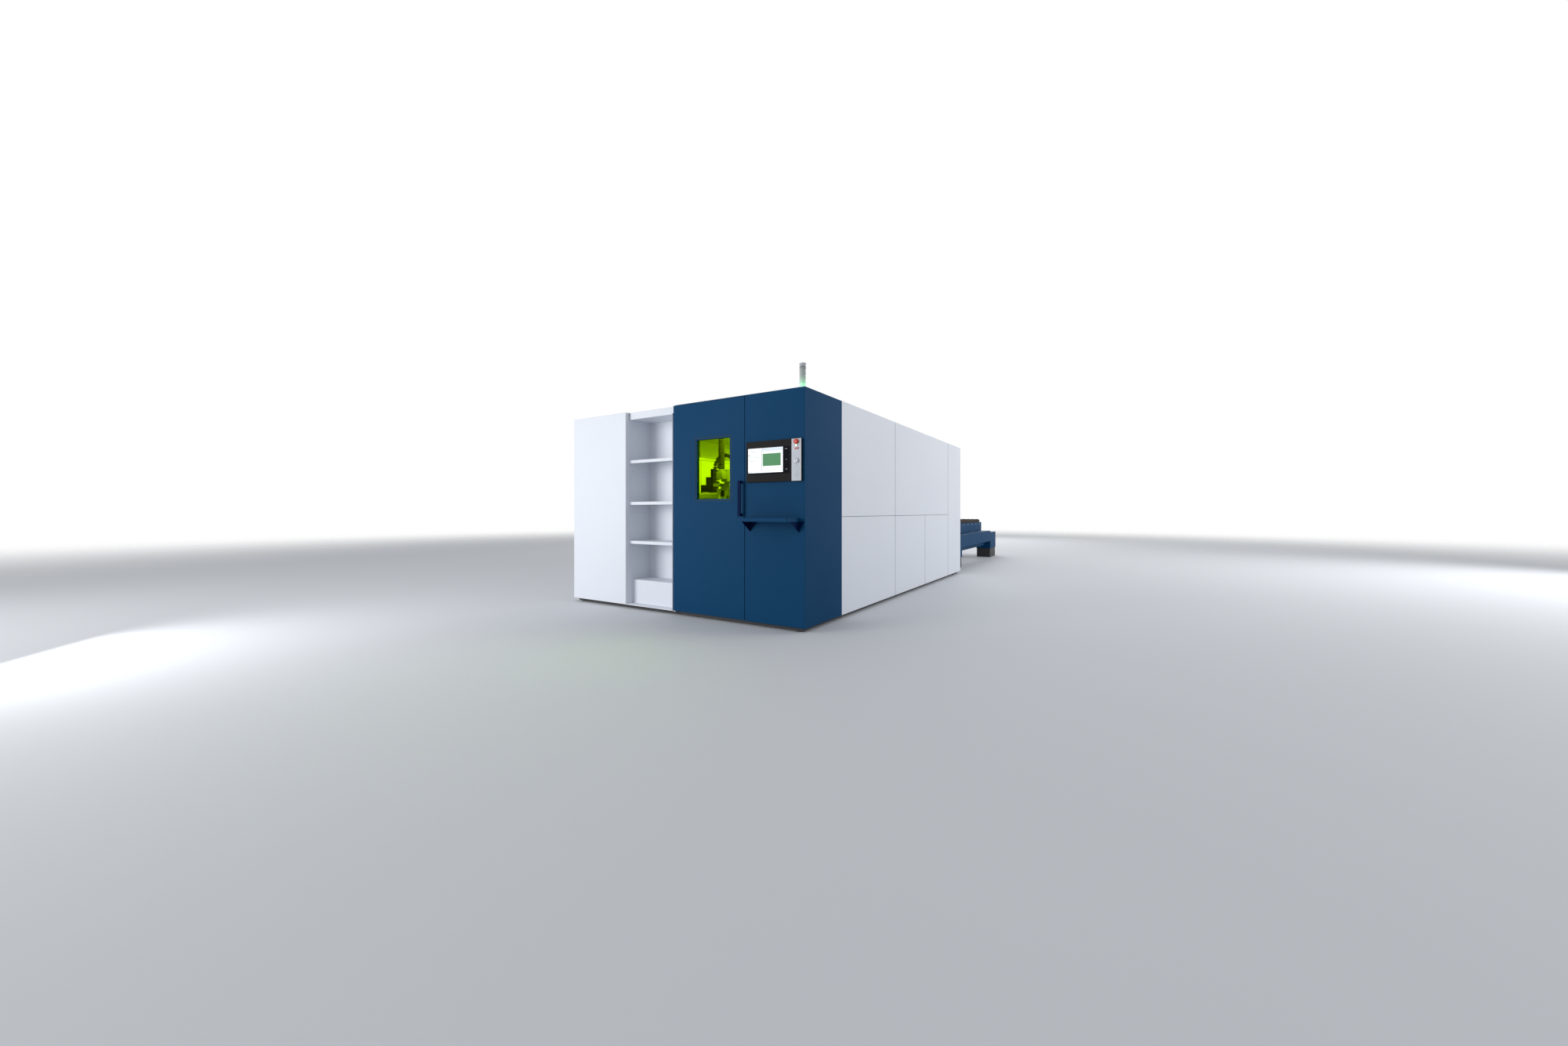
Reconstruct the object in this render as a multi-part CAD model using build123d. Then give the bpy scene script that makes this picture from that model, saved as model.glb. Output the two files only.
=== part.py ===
from build123d import *
import math
import os

# Fiber laser cutting machine with a closed cabin and a two-level pallet changer.
# Millimetres. X to the operator's left and right, Y from the front to the back, Z up.
# The origin is on the floor, in the middle of the machine's length and width.

# Cabin, front face from the right corner leftwards
COLUMN_WIDTH = 616.0
DOOR_WIDTH = 876.0
NICHE_WIDTH = 667.0
LEFT_PANEL_WIDTH = 851.0
CABIN_WIDTH = COLUMN_WIDTH + DOOR_WIDTH + NICHE_WIDTH + LEFT_PANEL_WIDTH

# Cabin, right side from the front corner backwards
COLUMN_SIDE = 686.0
FRONT_BAY = 1401.0
MIDDLE_BAY = 1113.0
REAR_BAY = 1124.0
END_BAY = 740.0
CABIN_LENGTH = COLUMN_SIDE + FRONT_BAY + MIDDLE_BAY + REAR_BAY + END_BAY

# Heights of the cabin
FLOOR_GAP = 40.0
PANEL_HEIGHT = 2000.0
WAIST_HEIGHT = 921.0
ROOF_SHEET = 3.0

# Folded sheet panels
SHEET = 2.0
PANEL_DEPTH = 40.0
EDGE_BREAK = 2.0

# Base of the cabin
FOOT_HEIGHT = 12.0
FOOT_RADIUS = 45.0
BASE_BEAM = 100.0

# Door
DOOR_GAP = 5.0
DOOR_THICKNESS = 38.0
PIVOT_RADIUS = 6.0
PIVOT_DEPTH = 20.0
PIVOT_SLACK = 0.05
WINDOW_WIDTH = 427.0
WINDOW_HEIGHT = 589.0
WINDOW_BOTTOM = 1068.0
WINDOW_FROM_CORNER = 768.0
WINDOW_FRAME = 16.0
GLASS_THICKNESS = 6.0
HANDLE_HEIGHT = 317.0
HANDLE_BOTTOM = 925.0
HANDLE_WIDTH = 30.0
HANDLE_THICKNESS = 12.0
HANDLE_STANDOFF = 46.0
HANDLE_FROM_SEAM = 17.0
HANDLE_POST = 24.0

# Niche with shelves
NICHE_DEPTH = 341.0
NICHE_HEADER = 71.0
SHELF_SETBACK = 48.0
SHELF_THICKNESS = 32.0
SHELF_TOPS = (663.0, 1070.0, 1504.0)
PLINTH_HEIGHT = 246.0
PLINTH_SETBACK = 94.0
FLOOR_PLATE = 8.0

# Operator panel on the control column
CONSOLE_RIGHT = 21.0
CONSOLE_WIDTH = 563.0
CONSOLE_BOTTOM = 1222.0
CONSOLE_HEIGHT = 353.0
CONSOLE_DEPTH = 21.0
STRIP_WIDTH = 94.0
STRIP_THICKNESS = 1.5
SCREEN_WIDTH = 433.0
SCREEN_HEIGHT = 229.0
SCREEN_BOTTOM = 1289.0
SCREEN_RIGHT = 134.0
SCREEN_THICKNESS = 4.0
BUTTON_SLACK = 0.05

# Buttons, dial and keys on its light strip; z is the height above the panels' lower edge
EMERGENCY_STOP = dict(z=1548.0, cap=20.0, stem=8.0, height=16.0, travel=4.0, dome=4.0)
START = dict(z=1516.0, cap=10.0, stem=5.0, height=5.0, travel=3.0, dome=1.0)
SMALL = dict(z=1492.0, cap=8.0, stem=4.0, height=4.0, travel=2.5, dome=1.0)
SMALL_SPACING = 26.0
DIAL_Z = 1390.0
DIAL_RADIUS = 23.0
DIAL_HEIGHT = 16.0
DIAL_SHAFT = 4.0
KEY_HEIGHT = 1.5
KEY_SIZE = 11.0
KEY_ROWS = ((1348.0, 0.0), (1327.0, -21.0), (1327.0, 21.0), (1305.0, 0.0),
            (1283.0, -12.0), (1283.0, 12.0), (1264.0, -12.0), (1264.0, 12.0))

# Keyboard tray
TRAY_WIDTH = 514.0
TRAY_DEPTH = 200.0
TRAY_LIP = 31.0
TRAY_TOP = 915.0
TRAY_SHEET = 3.0
BRACKET_REACH = 127.0
BRACKET_HEIGHT = 90.0
BRACKET_THICKNESS = 6.0
LEFT_BRACKET = (6.0, 86.0)
RIGHT_BRACKET = (504.0, 54.0)

# Signal lamp on the roof
LAMP_FROM_SIDE = 200.0
LAMP_FROM_FRONT = 310.0
LAMP_RADIUS = 32.0
LAMP_HEIGHT = 289.0
LAMP_BASE_HEIGHT = 34.0
LAMP_FLANGE = 6.0
LAMP_CAP = 10.0

# Machine bed inside the cabin
WORK_CENTRE_X = 400.0
BED_INNER_WIDTH = 1560.0
BED_BEAM_WIDTH = 150.0
BED_TOP = 900.0
BED_START = 600.0
RAIL_WIDTH = 45.0
RAIL_HEIGHT = 40.0
RACK_PITCH = 100.0
RACK_TOOTH = 12.0
RACK_HEIGHT = 24.0
RACK_FROM_RAIL = 16.0
BED_WALL = 12.0
BED_TOP_WALL = 20.0
BED_END_GAP = 64.0

# Gantry
BRIDGE_AT = 1030.0
BRIDGE_DEPTH = 240.0
BRIDGE_HEIGHT = 260.0
TRUCK_LENGTH = 180.0
TRUCK_HEIGHT = 60.0
TRUCK_WIDTH = 110.0
TRUCK_GAP = 5.0
BRIDGE_EDGE = 20.0
BRIDGE_POCKETS = 5
CROSS_RAIL = 20.0

# Carriage on the bridge
CARRIAGE_X = 10.0
CARRIAGE_WIDTH = 300.0
SADDLE_THICKNESS = 46.0
SADDLE_GAP = 2.0
SADDLE_RISE = 40.0
SLIDE_RAIL_X = 60.0
SLIDE_RAIL_WIDTH = 18.0
SLIDE_RAIL_DEPTH = 12.0
SLIDE_RAIL_END = 10.0
TOWER_HALF = 60.0
TOWER_SETBACK = 18.0
TOWER_TOP = 1480.0
MOTOR_HALF = 50.0
MOTOR_DEPTH = 80.0
MOTOR_HEIGHT = 140.0
MOTOR_EDGE = 10.0
ARM_WEB = 50.0

# Cutting head and its slide
HEAD_TRAVEL = 100.0
HEAD_PLATE = 34.0
HEAD_PLATE_HALF = 90.0
RISER_WIDTH = 18.0
HEAD_RADIUS = 45.0
HEAD_STANDOFF = 6.0
HEAD_SENSOR = 80.0
HEAD_LENS = 120.0
HEAD_BELOW_PLATE = 20.0
HEAD_TIP_GAP = 25.0
NOZZLE_HEIGHT = 30.0
NOZZLE_TIP = 3.0

# Energy chain between carriage and head
CHAIN_RADIUS = 135.0
CHAIN_WIDTH = 60.0
CHAIN_THICKNESS = 40.0
CHAIN_CORE = 0.6
CHAIN_LINKS = 9
CHAIN_LINK_SHARE = 0.82
CHAIN_FOOT_Z = 1320.0
CHAIN_CENTRE_Z = 1495.0
CHAIN_PLATE = 30.0
CHAIN_FROM_SADDLE = 27.0

# Laser source cabinet
CABINET_START = 420.0
CABINET_LENGTH = 1500.0
CABINET_HEIGHT = 1560.0
CABINET_GAP = 5.0
CABINET_FROM_BED = 120.0
CABINET_EDGE = 10.0

# Pallets and their changer
CHANGER_LENGTH = 4036.0
CHANGER_BEAM_WIDTH = 120.0
CHANGER_BEAM_TOP = 585.0
CHANGER_BEAM_HEIGHT = 230.0
CHANGER_GAP = 10.0
CROSS_BEAM_WIDTH = 100.0
CROSS_BEAM_HEIGHT = 60.0
FAR_BEAM_SETBACK = 60.0
FAR_BEAM_WIDTH = 180.0
FAR_BEAM_INSET = 20.0
FOOT_INSET = 10.0
LEVEL_DROP = 300.0
LEDGE_WIDTH = 70.0
LEDGE_THICKNESS = 20.0
RAIL_WEB = 8.0
NEAR_POST_START = 656.0
NEAR_POST_LENGTH = 300.0
NEAR_FOOT_HEIGHT = 187.0
CORNER_BOX_LENGTH = 580.0
CORNER_BOX_WIDTH = 300.0
CORNER_BOX_TOP = 548.0
CORNER_FOOT_HEIGHT = 194.0
PALLET_LENGTH = 3090.0
PALLET_AT = 86.0
PALLET_TRAVEL = 4495.0
PALLET_SIDE_GAP = 15.0
PALLET_BEAM_HEIGHT = 168.0
PALLET_BEAM_WIDTH = 60.0
PALLET_CLEARANCE = 7.0
PALLET_WALL = 8.0
PALLET_BAYS = 4
PALLET_WHEELS = 4
WHEEL_RADIUS = 25.0
WHEEL_WIDTH = 30.0
COMB_HEIGHT = 20.0
SLAT_HEIGHT = 70.0
SLAT_PITCH = 130.0
SLAT_THICKNESS = 4.0
TOOTH_PITCH = 90.0
TOOTH_DEPTH = 20.0

# Guard door over the pallet opening, shown raised
OPENING_MARGIN = 30.0
GUARD_THICKNESS = 10.0
GUARD_TRAVEL = 650.0
GUARD_OVERLAP = 30.0
GUIDE_LENGTH = 980.0
GUIDE_WALL = 4.0

# Small gaps
CONTACT_GAP = 0.3

# Places that follow from the sizes above
OVERALL_LENGTH = TRAY_DEPTH + CABIN_LENGTH + CHANGER_LENGTH
FRONT_Y = TRAY_DEPTH - OVERALL_LENGTH / 2
REAR_Y = FRONT_Y + CABIN_LENGTH
RIGHT_X = CABIN_WIDTH / 2
LEFT_X = -CABIN_WIDTH / 2
PANEL_TOP = FLOOR_GAP + PANEL_HEIGHT
DOOR_RIGHT = RIGHT_X - COLUMN_WIDTH
DOOR_LEFT = DOOR_RIGHT - DOOR_WIDTH
NICHE_LEFT = DOOR_LEFT - NICHE_WIDTH
BASE_TOP = FOOT_HEIGHT + BASE_BEAM
WAIST_Z = FLOOR_GAP + WAIST_HEIGHT
BED_HALF = BED_INNER_WIDTH / 2
UPPER_LEVEL = CHANGER_BEAM_TOP
LOWER_LEVEL = CHANGER_BEAM_TOP - LEVEL_DROP

os.makedirs("parts", exist_ok=True)


def save(name, *solids):
    """Write one or more solids as one named node."""
    shape = solids[0] if len(solids) == 1 else Compound(children=list(solids))
    export_step(shape, f"parts/{name}.step")


def block(x0, x1, y0, y1, z0, z1):
    """A box between two corners."""
    centre = Pos((x0 + x1) / 2, (y0 + y1) / 2, (z0 + z1) / 2)
    return centre * Box(x1 - x0, y1 - y0, z1 - z0)


def back(distance):
    """The Y place of something that lies a distance behind the front face."""
    return FRONT_Y + distance


def rod(x, y, z0, z1, radius):
    """An upright round bar."""
    return Pos(x, y, (z0 + z1) / 2) * Cylinder(radius, z1 - z0)


# Folded panels

def folded_panel(width, height):
    """A sheet panel with four edges folded back, its outer face on the XZ plane."""
    body = block(0, width, 0, PANEL_DEPTH, 0, height)
    outer = body.faces().sort_by(Axis.Y)[0]
    body = chamfer(outer.edges(), EDGE_BREAK)
    pocket = block(SHEET, width - SHEET, SHEET, PANEL_DEPTH + SHEET, SHEET, height - SHEET)
    return body - pocket


def front_panel(x0, x1, z0, z1):
    """A folded panel in the front face."""
    return Pos(x0, FRONT_Y, z0) * folded_panel(x1 - x0, z1 - z0)


def right_panel(start, end, z0, z1):
    """A folded panel in the right side, from start to end behind the front face."""
    return Pos(RIGHT_X, back(start), z0) * Rot(0, 0, 90) * folded_panel(end - start, z1 - z0)


def left_panel(start, end, z0, z1):
    """A folded panel in the left side, from start to end behind the front face."""
    return Pos(LEFT_X, back(end), z0) * Rot(0, 0, -90) * folded_panel(end - start, z1 - z0)


def column_casing():
    """The blue corner casing: one sheet folded round the front right corner."""
    body = block(DOOR_RIGHT, RIGHT_X, FRONT_Y, back(COLUMN_SIDE), FLOOR_GAP, PANEL_TOP)
    body = chamfer(body.faces().sort_by(Axis.Y)[0].edges(), EDGE_BREAK)
    room = block(
        DOOR_RIGHT - SHEET, RIGHT_X - PANEL_DEPTH,
        back(PANEL_DEPTH), back(COLUMN_SIDE + SHEET),
        FLOOR_GAP - SHEET, PANEL_TOP + SHEET,
    )
    pocket = block(
        DOOR_RIGHT + SHEET, RIGHT_X - SHEET,
        back(SHEET), back(COLUMN_SIDE - SHEET),
        FLOOR_GAP + SHEET, PANEL_TOP - SHEET,
    )
    return body - room - pocket


def rear_wall():
    """The back panel, with the opening that the pallets pass through."""
    x0 = LEFT_X + PANEL_DEPTH
    x1 = RIGHT_X - PANEL_DEPTH
    panel = Pos(x1, REAR_Y, FLOOR_GAP) * Rot(0, 0, 180) * folded_panel(x1 - x0, PANEL_HEIGHT)
    left, right, bottom, top = rear_opening()
    frame = block(left - SHEET, right + SHEET, REAR_Y - PANEL_DEPTH, REAR_Y - SHEET / 2,
                  bottom - SHEET, top + SHEET)
    hole = block(left, right, REAR_Y - PANEL_DEPTH - SHEET, REAR_Y + SHEET, bottom, top)
    panel = panel + frame
    for edge, side in ((left, -1), (right, 1)):
        far = edge + side * 2 * GUARD_OVERLAP
        panel = panel + block(min(edge, far), max(edge, far), REAR_Y - PANEL_DEPTH,
                              REAR_Y - SHEET / 2, bottom, UPPER_LEVEL + GUIDE_LENGTH)
    return panel - hole


def rear_opening():
    """Left, right, bottom and top of the pallet opening in the back panel."""
    side = BED_HALF + PALLET_SIDE_GAP / 2
    below = LOWER_LEVEL - LEDGE_THICKNESS - OPENING_MARGIN
    above = UPPER_LEVEL + pallet_height() + OPENING_MARGIN
    return WORK_CENTRE_X - side, WORK_CENTRE_X + side, below, above


def pallet_height():
    """From a pallet's running surface to the tips of its slats."""
    return PALLET_CLEARANCE + PALLET_BEAM_HEIGHT + COMB_HEIGHT + SLAT_HEIGHT


# Base and casing

def base():
    """The recessed dark base: two long beams, four cross beams and levelling feet.

    The front cross beam is in three pieces, because it steps down under the niche.
    """
    outer = RIGHT_X - PANEL_DEPTH
    inner = outer - BASE_BEAM
    y0 = back(PANEL_DEPTH)
    y1 = REAR_Y - PANEL_DEPTH
    save("base_side_beams",
         block(inner, outer, y0, y1, FOOT_HEIGHT, BASE_TOP),
         block(-outer, -inner, y0, y1, FOOT_HEIGHT, BASE_TOP))
    starts = (y0, back(BED_START + BASE_BEAM), back(bed_end() - 2 * BASE_BEAM), y1 - BASE_BEAM)
    y2 = y0 + BASE_BEAM
    beams = [
        block(-inner, NICHE_LEFT, y0, y2, FOOT_HEIGHT, BASE_TOP),
        block(NICHE_LEFT, DOOR_LEFT, y0, y2, FOOT_HEIGHT, FLOOR_GAP),
        block(DOOR_LEFT, inner, y0, y2, FOOT_HEIGHT, BASE_TOP),
    ]
    for y in starts[1:]:
        beams.append(block(-inner, inner, y, y + BASE_BEAM, FOOT_HEIGHT, BASE_TOP))
    save("base_cross_beams", *beams)
    feet = []
    for x in (inner + BASE_BEAM / 2, -inner - BASE_BEAM / 2):
        for y in starts:
            feet.append(rod(x, y + BASE_BEAM / 2, 0, FOOT_HEIGHT, FOOT_RADIUS))
    for x in (bed_side(1), bed_side(-1)):
        for y in starts[1:3]:
            feet.append(rod(x, y + BASE_BEAM / 2, 0, FOOT_HEIGHT, FOOT_RADIUS))
    save("levelling_feet", *feet)


def bed_end():
    """How far behind the front face the bed ends, clear of the guard door."""
    return CABIN_LENGTH - PANEL_DEPTH - GUARD_THICKNESS - BED_END_GAP


def bed_side(side):
    """Middle of the bed beam on the right (side 1) or left (side -1)."""
    return WORK_CENTRE_X + side * (BED_HALF + BED_BEAM_WIDTH / 2)


def casing():
    """All outer panels of the cabin."""
    middle = COLUMN_SIDE + FRONT_BAY
    lower_split = middle + MIDDLE_BAY
    rear = lower_split + REAR_BAY
    save("control_column_casing", column_casing())
    save("right_panel_upper_front", right_panel(COLUMN_SIDE, middle, WAIST_Z, PANEL_TOP))
    save("right_panel_lower_front", right_panel(COLUMN_SIDE, middle, FLOOR_GAP, WAIST_Z))
    save("right_panel_upper_rear", right_panel(middle, rear, WAIST_Z, PANEL_TOP))
    save("right_panel_lower_middle", right_panel(middle, lower_split, FLOOR_GAP, WAIST_Z))
    save("right_panel_lower_rear", right_panel(lower_split, rear, FLOOR_GAP, WAIST_Z))
    save("right_end_panel", right_panel(rear, CABIN_LENGTH, FLOOR_GAP, PANEL_TOP))
    save("left_panel_front", left_panel(PANEL_DEPTH, middle, FLOOR_GAP, PANEL_TOP))
    save("left_panel_middle", left_panel(middle, rear, FLOOR_GAP, PANEL_TOP))
    save("left_end_panel", left_panel(rear, CABIN_LENGTH, FLOOR_GAP, PANEL_TOP))
    save("front_left_panel", front_panel(LEFT_X, NICHE_LEFT, FLOOR_GAP, PANEL_TOP))
    save("rear_wall", rear_wall())
    save("roof", *roof())


def roof():
    """The flat roof sheet, and the cap strips over the front on each side of the niche."""
    strip_end = back(SHELF_SETBACK)
    top = PANEL_TOP + ROOF_SHEET
    return [
        block(LEFT_X + SHEET, RIGHT_X - SHEET, strip_end, REAR_Y - SHEET, PANEL_TOP, top),
        block(LEFT_X + SHEET, NICHE_LEFT, FRONT_Y + SHEET, strip_end, PANEL_TOP, top),
        block(DOOR_LEFT, RIGHT_X - SHEET, FRONT_Y + SHEET, strip_end, PANEL_TOP, top),
    ]


def guard():
    """The guard door behind the pallet opening, raised, and its two upright guides."""
    left, right, bottom, top = rear_opening()
    y1 = REAR_Y - PANEL_DEPTH - CONTACT_GAP - SHEET
    y0 = y1 - GUARD_THICKNESS
    closed_top = top + GUARD_OVERLAP
    step = UPPER_LEVEL + CONTACT_GAP + LEDGE_THICKNESS
    inset = PALLET_SIDE_GAP + LEDGE_WIDTH
    upper = block(left - GUARD_OVERLAP, right + GUARD_OVERLAP, y0, y1, step, closed_top)
    lower = block(left + inset, right - inset, y0, y1, bottom, step)
    save("rear_guard_door", Pos(0, 0, GUARD_TRAVEL) * (upper + lower))
    guides = []
    for edge, side in ((left - GUARD_OVERLAP, -1), (right + GUARD_OVERLAP, 1)):
        wall = REAR_Y - PANEL_DEPTH
        depth = GUARD_THICKNESS + SHEET + 2 * CONTACT_GAP
        near = edge - side * GUARD_OVERLAP * 0.6
        far = edge + side * PANEL_DEPTH / 2
        body = block(min(near, far), max(near, far), wall - depth - GUIDE_WALL, wall,
                     step, step + GUIDE_LENGTH)
        slot_end = edge + side * CONTACT_GAP
        slot = block(min(near - side, slot_end), max(near - side, slot_end),
                     y0 - CONTACT_GAP, y1 + CONTACT_GAP, step - SHEET, step + GUIDE_LENGTH + SHEET)
        guides.append(body - slot)
    save("rear_door_guides", *guides)


# Niche with shelves

def niche():
    """The open storage niche beside the door."""
    top = PANEL_TOP - NICHE_HEADER
    floor = FLOOR_GAP + FLOOR_PLATE
    rear = back(NICHE_DEPTH)
    header = block(NICHE_LEFT, DOOR_LEFT, back(SHELF_SETBACK), rear, top, PANEL_TOP)
    left = block(NICHE_LEFT, NICHE_LEFT + SHEET, FRONT_Y, rear, floor, top)
    right = block(DOOR_LEFT - SHEET, DOOR_LEFT, FRONT_Y, rear, floor, top)
    rear_sheet = block(NICHE_LEFT + SHEET, DOOR_LEFT - SHEET, rear - SHEET, rear, floor, top)
    save("niche_liner", left, right, rear_sheet, header)
    save("niche_shelves", *[shelf(FLOOR_GAP + height) for height in SHELF_TOPS])
    plinth = block(NICHE_LEFT + SHEET, DOOR_LEFT - SHEET, back(PLINTH_SETBACK),
                   back(NICHE_DEPTH - SHEET), floor, floor + PLINTH_HEIGHT)
    front_edge = plinth.edges().filter_by(Axis.X).sort_by(Axis.Y)[:2].sort_by(Axis.Z)[-1]
    save("niche_plinth_box", chamfer(front_edge, EDGE_BREAK * 3))
    save("niche_floor_plate", block(NICHE_LEFT, DOOR_LEFT, FRONT_Y, rear, FLOOR_GAP, floor))


def shelf(top):
    """A folded shelf: a tray turned upside down, open below."""
    x0 = NICHE_LEFT + SHEET
    x1 = DOOR_LEFT - SHEET
    y0 = back(SHELF_SETBACK)
    y1 = back(NICHE_DEPTH - SHEET)
    body = block(x0, x1, y0, y1, top - SHELF_THICKNESS, top)
    front = body.edges().filter_by(Axis.X).sort_by(Axis.Y)[:2]
    body = chamfer(front, EDGE_BREAK)
    under = block(x0 + SHEET, x1 - SHEET, y0 + SHELF_THICKNESS / 2, y1 - SHEET,
                  top - SHELF_THICKNESS - SHEET, top - SHEET)
    return body - under


# Door

def door():
    """The blue door, its window and handle, and the two pins that it turns on."""
    x0 = DOOR_LEFT + DOOR_GAP / 2
    x1 = DOOR_RIGHT - DOOR_GAP
    z0 = FLOOR_GAP + DOOR_GAP
    z1 = PANEL_TOP - DOOR_GAP
    radius = DOOR_THICKNESS / 2
    axis_x = x0 + radius
    axis_y = FRONT_Y + radius
    leaf = block(axis_x, x1, FRONT_Y, FRONT_Y + DOOR_THICKNESS, z0, z1)
    leaf = leaf + rod(axis_x, axis_y, z0, z1, radius)
    pan = block(axis_x + radius, x1 - SHEET, FRONT_Y + SHEET, FRONT_Y + DOOR_THICKNESS + SHEET,
                z0 + PANEL_DEPTH, z1 - PANEL_DEPTH)
    wx1 = RIGHT_X - WINDOW_FROM_CORNER
    wx0 = wx1 - WINDOW_WIDTH
    wz0 = FLOOR_GAP + WINDOW_BOTTOM
    wz1 = wz0 + WINDOW_HEIGHT
    rim = WINDOW_FRAME * 2
    surround = block(wx0 - rim, wx1 + rim, FRONT_Y + SHEET, FRONT_Y + DOOR_THICKNESS,
                     wz0 - rim, wz1 + rim)
    hole = block(wx0, wx1, FRONT_Y - SHEET, FRONT_Y + DOOR_THICKNESS + SHEET, wz0, wz1)
    leaf = leaf - pan + surround - hole
    for z in (z0, z1):
        leaf = leaf - rod(axis_x, axis_y, z - PIVOT_DEPTH, z + PIVOT_DEPTH,
                          PIVOT_RADIUS + PIVOT_SLACK)
    save("door_leaf", leaf)
    save("door_window_frame", window_frame(wx0, wx1, wz0, wz1))
    glass_y = FRONT_Y + DOOR_THICKNESS / 2
    save("door_window_glass", block(wx0 + WINDOW_FRAME / 2, wx1 - WINDOW_FRAME / 2, glass_y,
                                    glass_y + GLASS_THICKNESS, wz0 + WINDOW_FRAME / 2,
                                    wz1 - WINDOW_FRAME / 2))
    save("door_handle", handle())
    pin_top = z0 + PIVOT_DEPTH - CONTACT_GAP
    bracket = block(axis_x - radius, axis_x + radius, FRONT_Y + SHEET, back(PANEL_DEPTH),
                    z0 - DOOR_GAP - SHEET * 2, z0 - CONTACT_GAP)
    lower = bracket + rod(axis_x, axis_y, z0 - DOOR_GAP, pin_top, PIVOT_RADIUS)
    upper = rod(axis_x, axis_y, z1 + CONTACT_GAP, PANEL_TOP, radius - SHEET)
    upper = upper + rod(axis_x, axis_y, z1 - PIVOT_DEPTH + CONTACT_GAP, PANEL_TOP, PIVOT_RADIUS)
    save("door_pivots", lower, upper)


def window_frame(x0, x1, z0, z1):
    """The recessed dark frame that holds the glass in the door."""
    y0 = FRONT_Y + SHEET
    y1 = FRONT_Y + DOOR_THICKNESS
    ring = block(x0, x1, y0, y1, z0, z1)
    light = block(x0 + WINDOW_FRAME, x1 - WINDOW_FRAME, y0 - SHEET, y1 + SHEET,
                  z0 + WINDOW_FRAME, z1 - WINDOW_FRAME)
    glass_y = FRONT_Y + DOOR_THICKNESS / 2
    rebate = block(x0 + WINDOW_FRAME / 2, x1 - WINDOW_FRAME / 2, glass_y,
                   glass_y + GLASS_THICKNESS, z0 + WINDOW_FRAME / 2, z1 - WINDOW_FRAME / 2)
    return ring - light - rebate


def handle():
    """The upright bar handle: a flat grip on two posts, all its edges broken."""
    x1 = DOOR_RIGHT - HANDLE_FROM_SEAM
    x0 = x1 - HANDLE_WIDTH
    z0 = FLOOR_GAP + HANDLE_BOTTOM
    z1 = z0 + HANDLE_HEIGHT
    front = FRONT_Y - HANDLE_STANDOFF
    grip = block(x0, x1, front, front + HANDLE_THICKNESS, z0, z1)
    grip = chamfer(grip.edges(), EDGE_BREAK)
    inset = (HANDLE_WIDTH - HANDLE_THICKNESS) / 2
    for z in (z0 + EDGE_BREAK, z1 - EDGE_BREAK - HANDLE_POST):
        grip = grip + block(x0 + inset, x1 - inset, front + HANDLE_THICKNESS / 2, FRONT_Y,
                            z, z + HANDLE_POST)
    return grip


# Operator panel, tray and lamp

def strip_button(x, z, cap_radius, stem_radius, cap_height, travel, dome):
    """A push button that stands off the strip by its travel, with a stem in the housing."""
    face = FRONT_Y - CONSOLE_DEPTH - STRIP_THICKNESS
    rest = travel + CONTACT_GAP
    points = [
        (0, rest + cap_height),
        (cap_radius - dome, rest + cap_height),
        (cap_radius, rest + cap_height - dome),
        (cap_radius, rest),
        (stem_radius, rest),
        (stem_radius, -CONSOLE_DEPTH * 0.6),
        (0, -CONSOLE_DEPTH * 0.6),
    ]
    profile = make_face(Polyline(*[(r, h) for r, h in points], close=True))
    turned = revolve(Plane.XZ * profile, Axis.Z)
    return Pos(x, face, z) * Rot(90, 0, 0) * turned


def strip_x():
    """The middle of the light strip at the right of the operator panel."""
    return RIGHT_X - CONSOLE_RIGHT - STRIP_WIDTH / 2


def button_places():
    """Every bore in the strip: name, X, Z and sizes."""
    x = strip_x()
    half = SMALL_SPACING / 2
    return (
        ("emergency_stop_button", x, EMERGENCY_STOP),
        ("start_button", x, START),
        ("pause_button", x - half, SMALL),
        ("reset_button", x + half, SMALL),
    )


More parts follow.
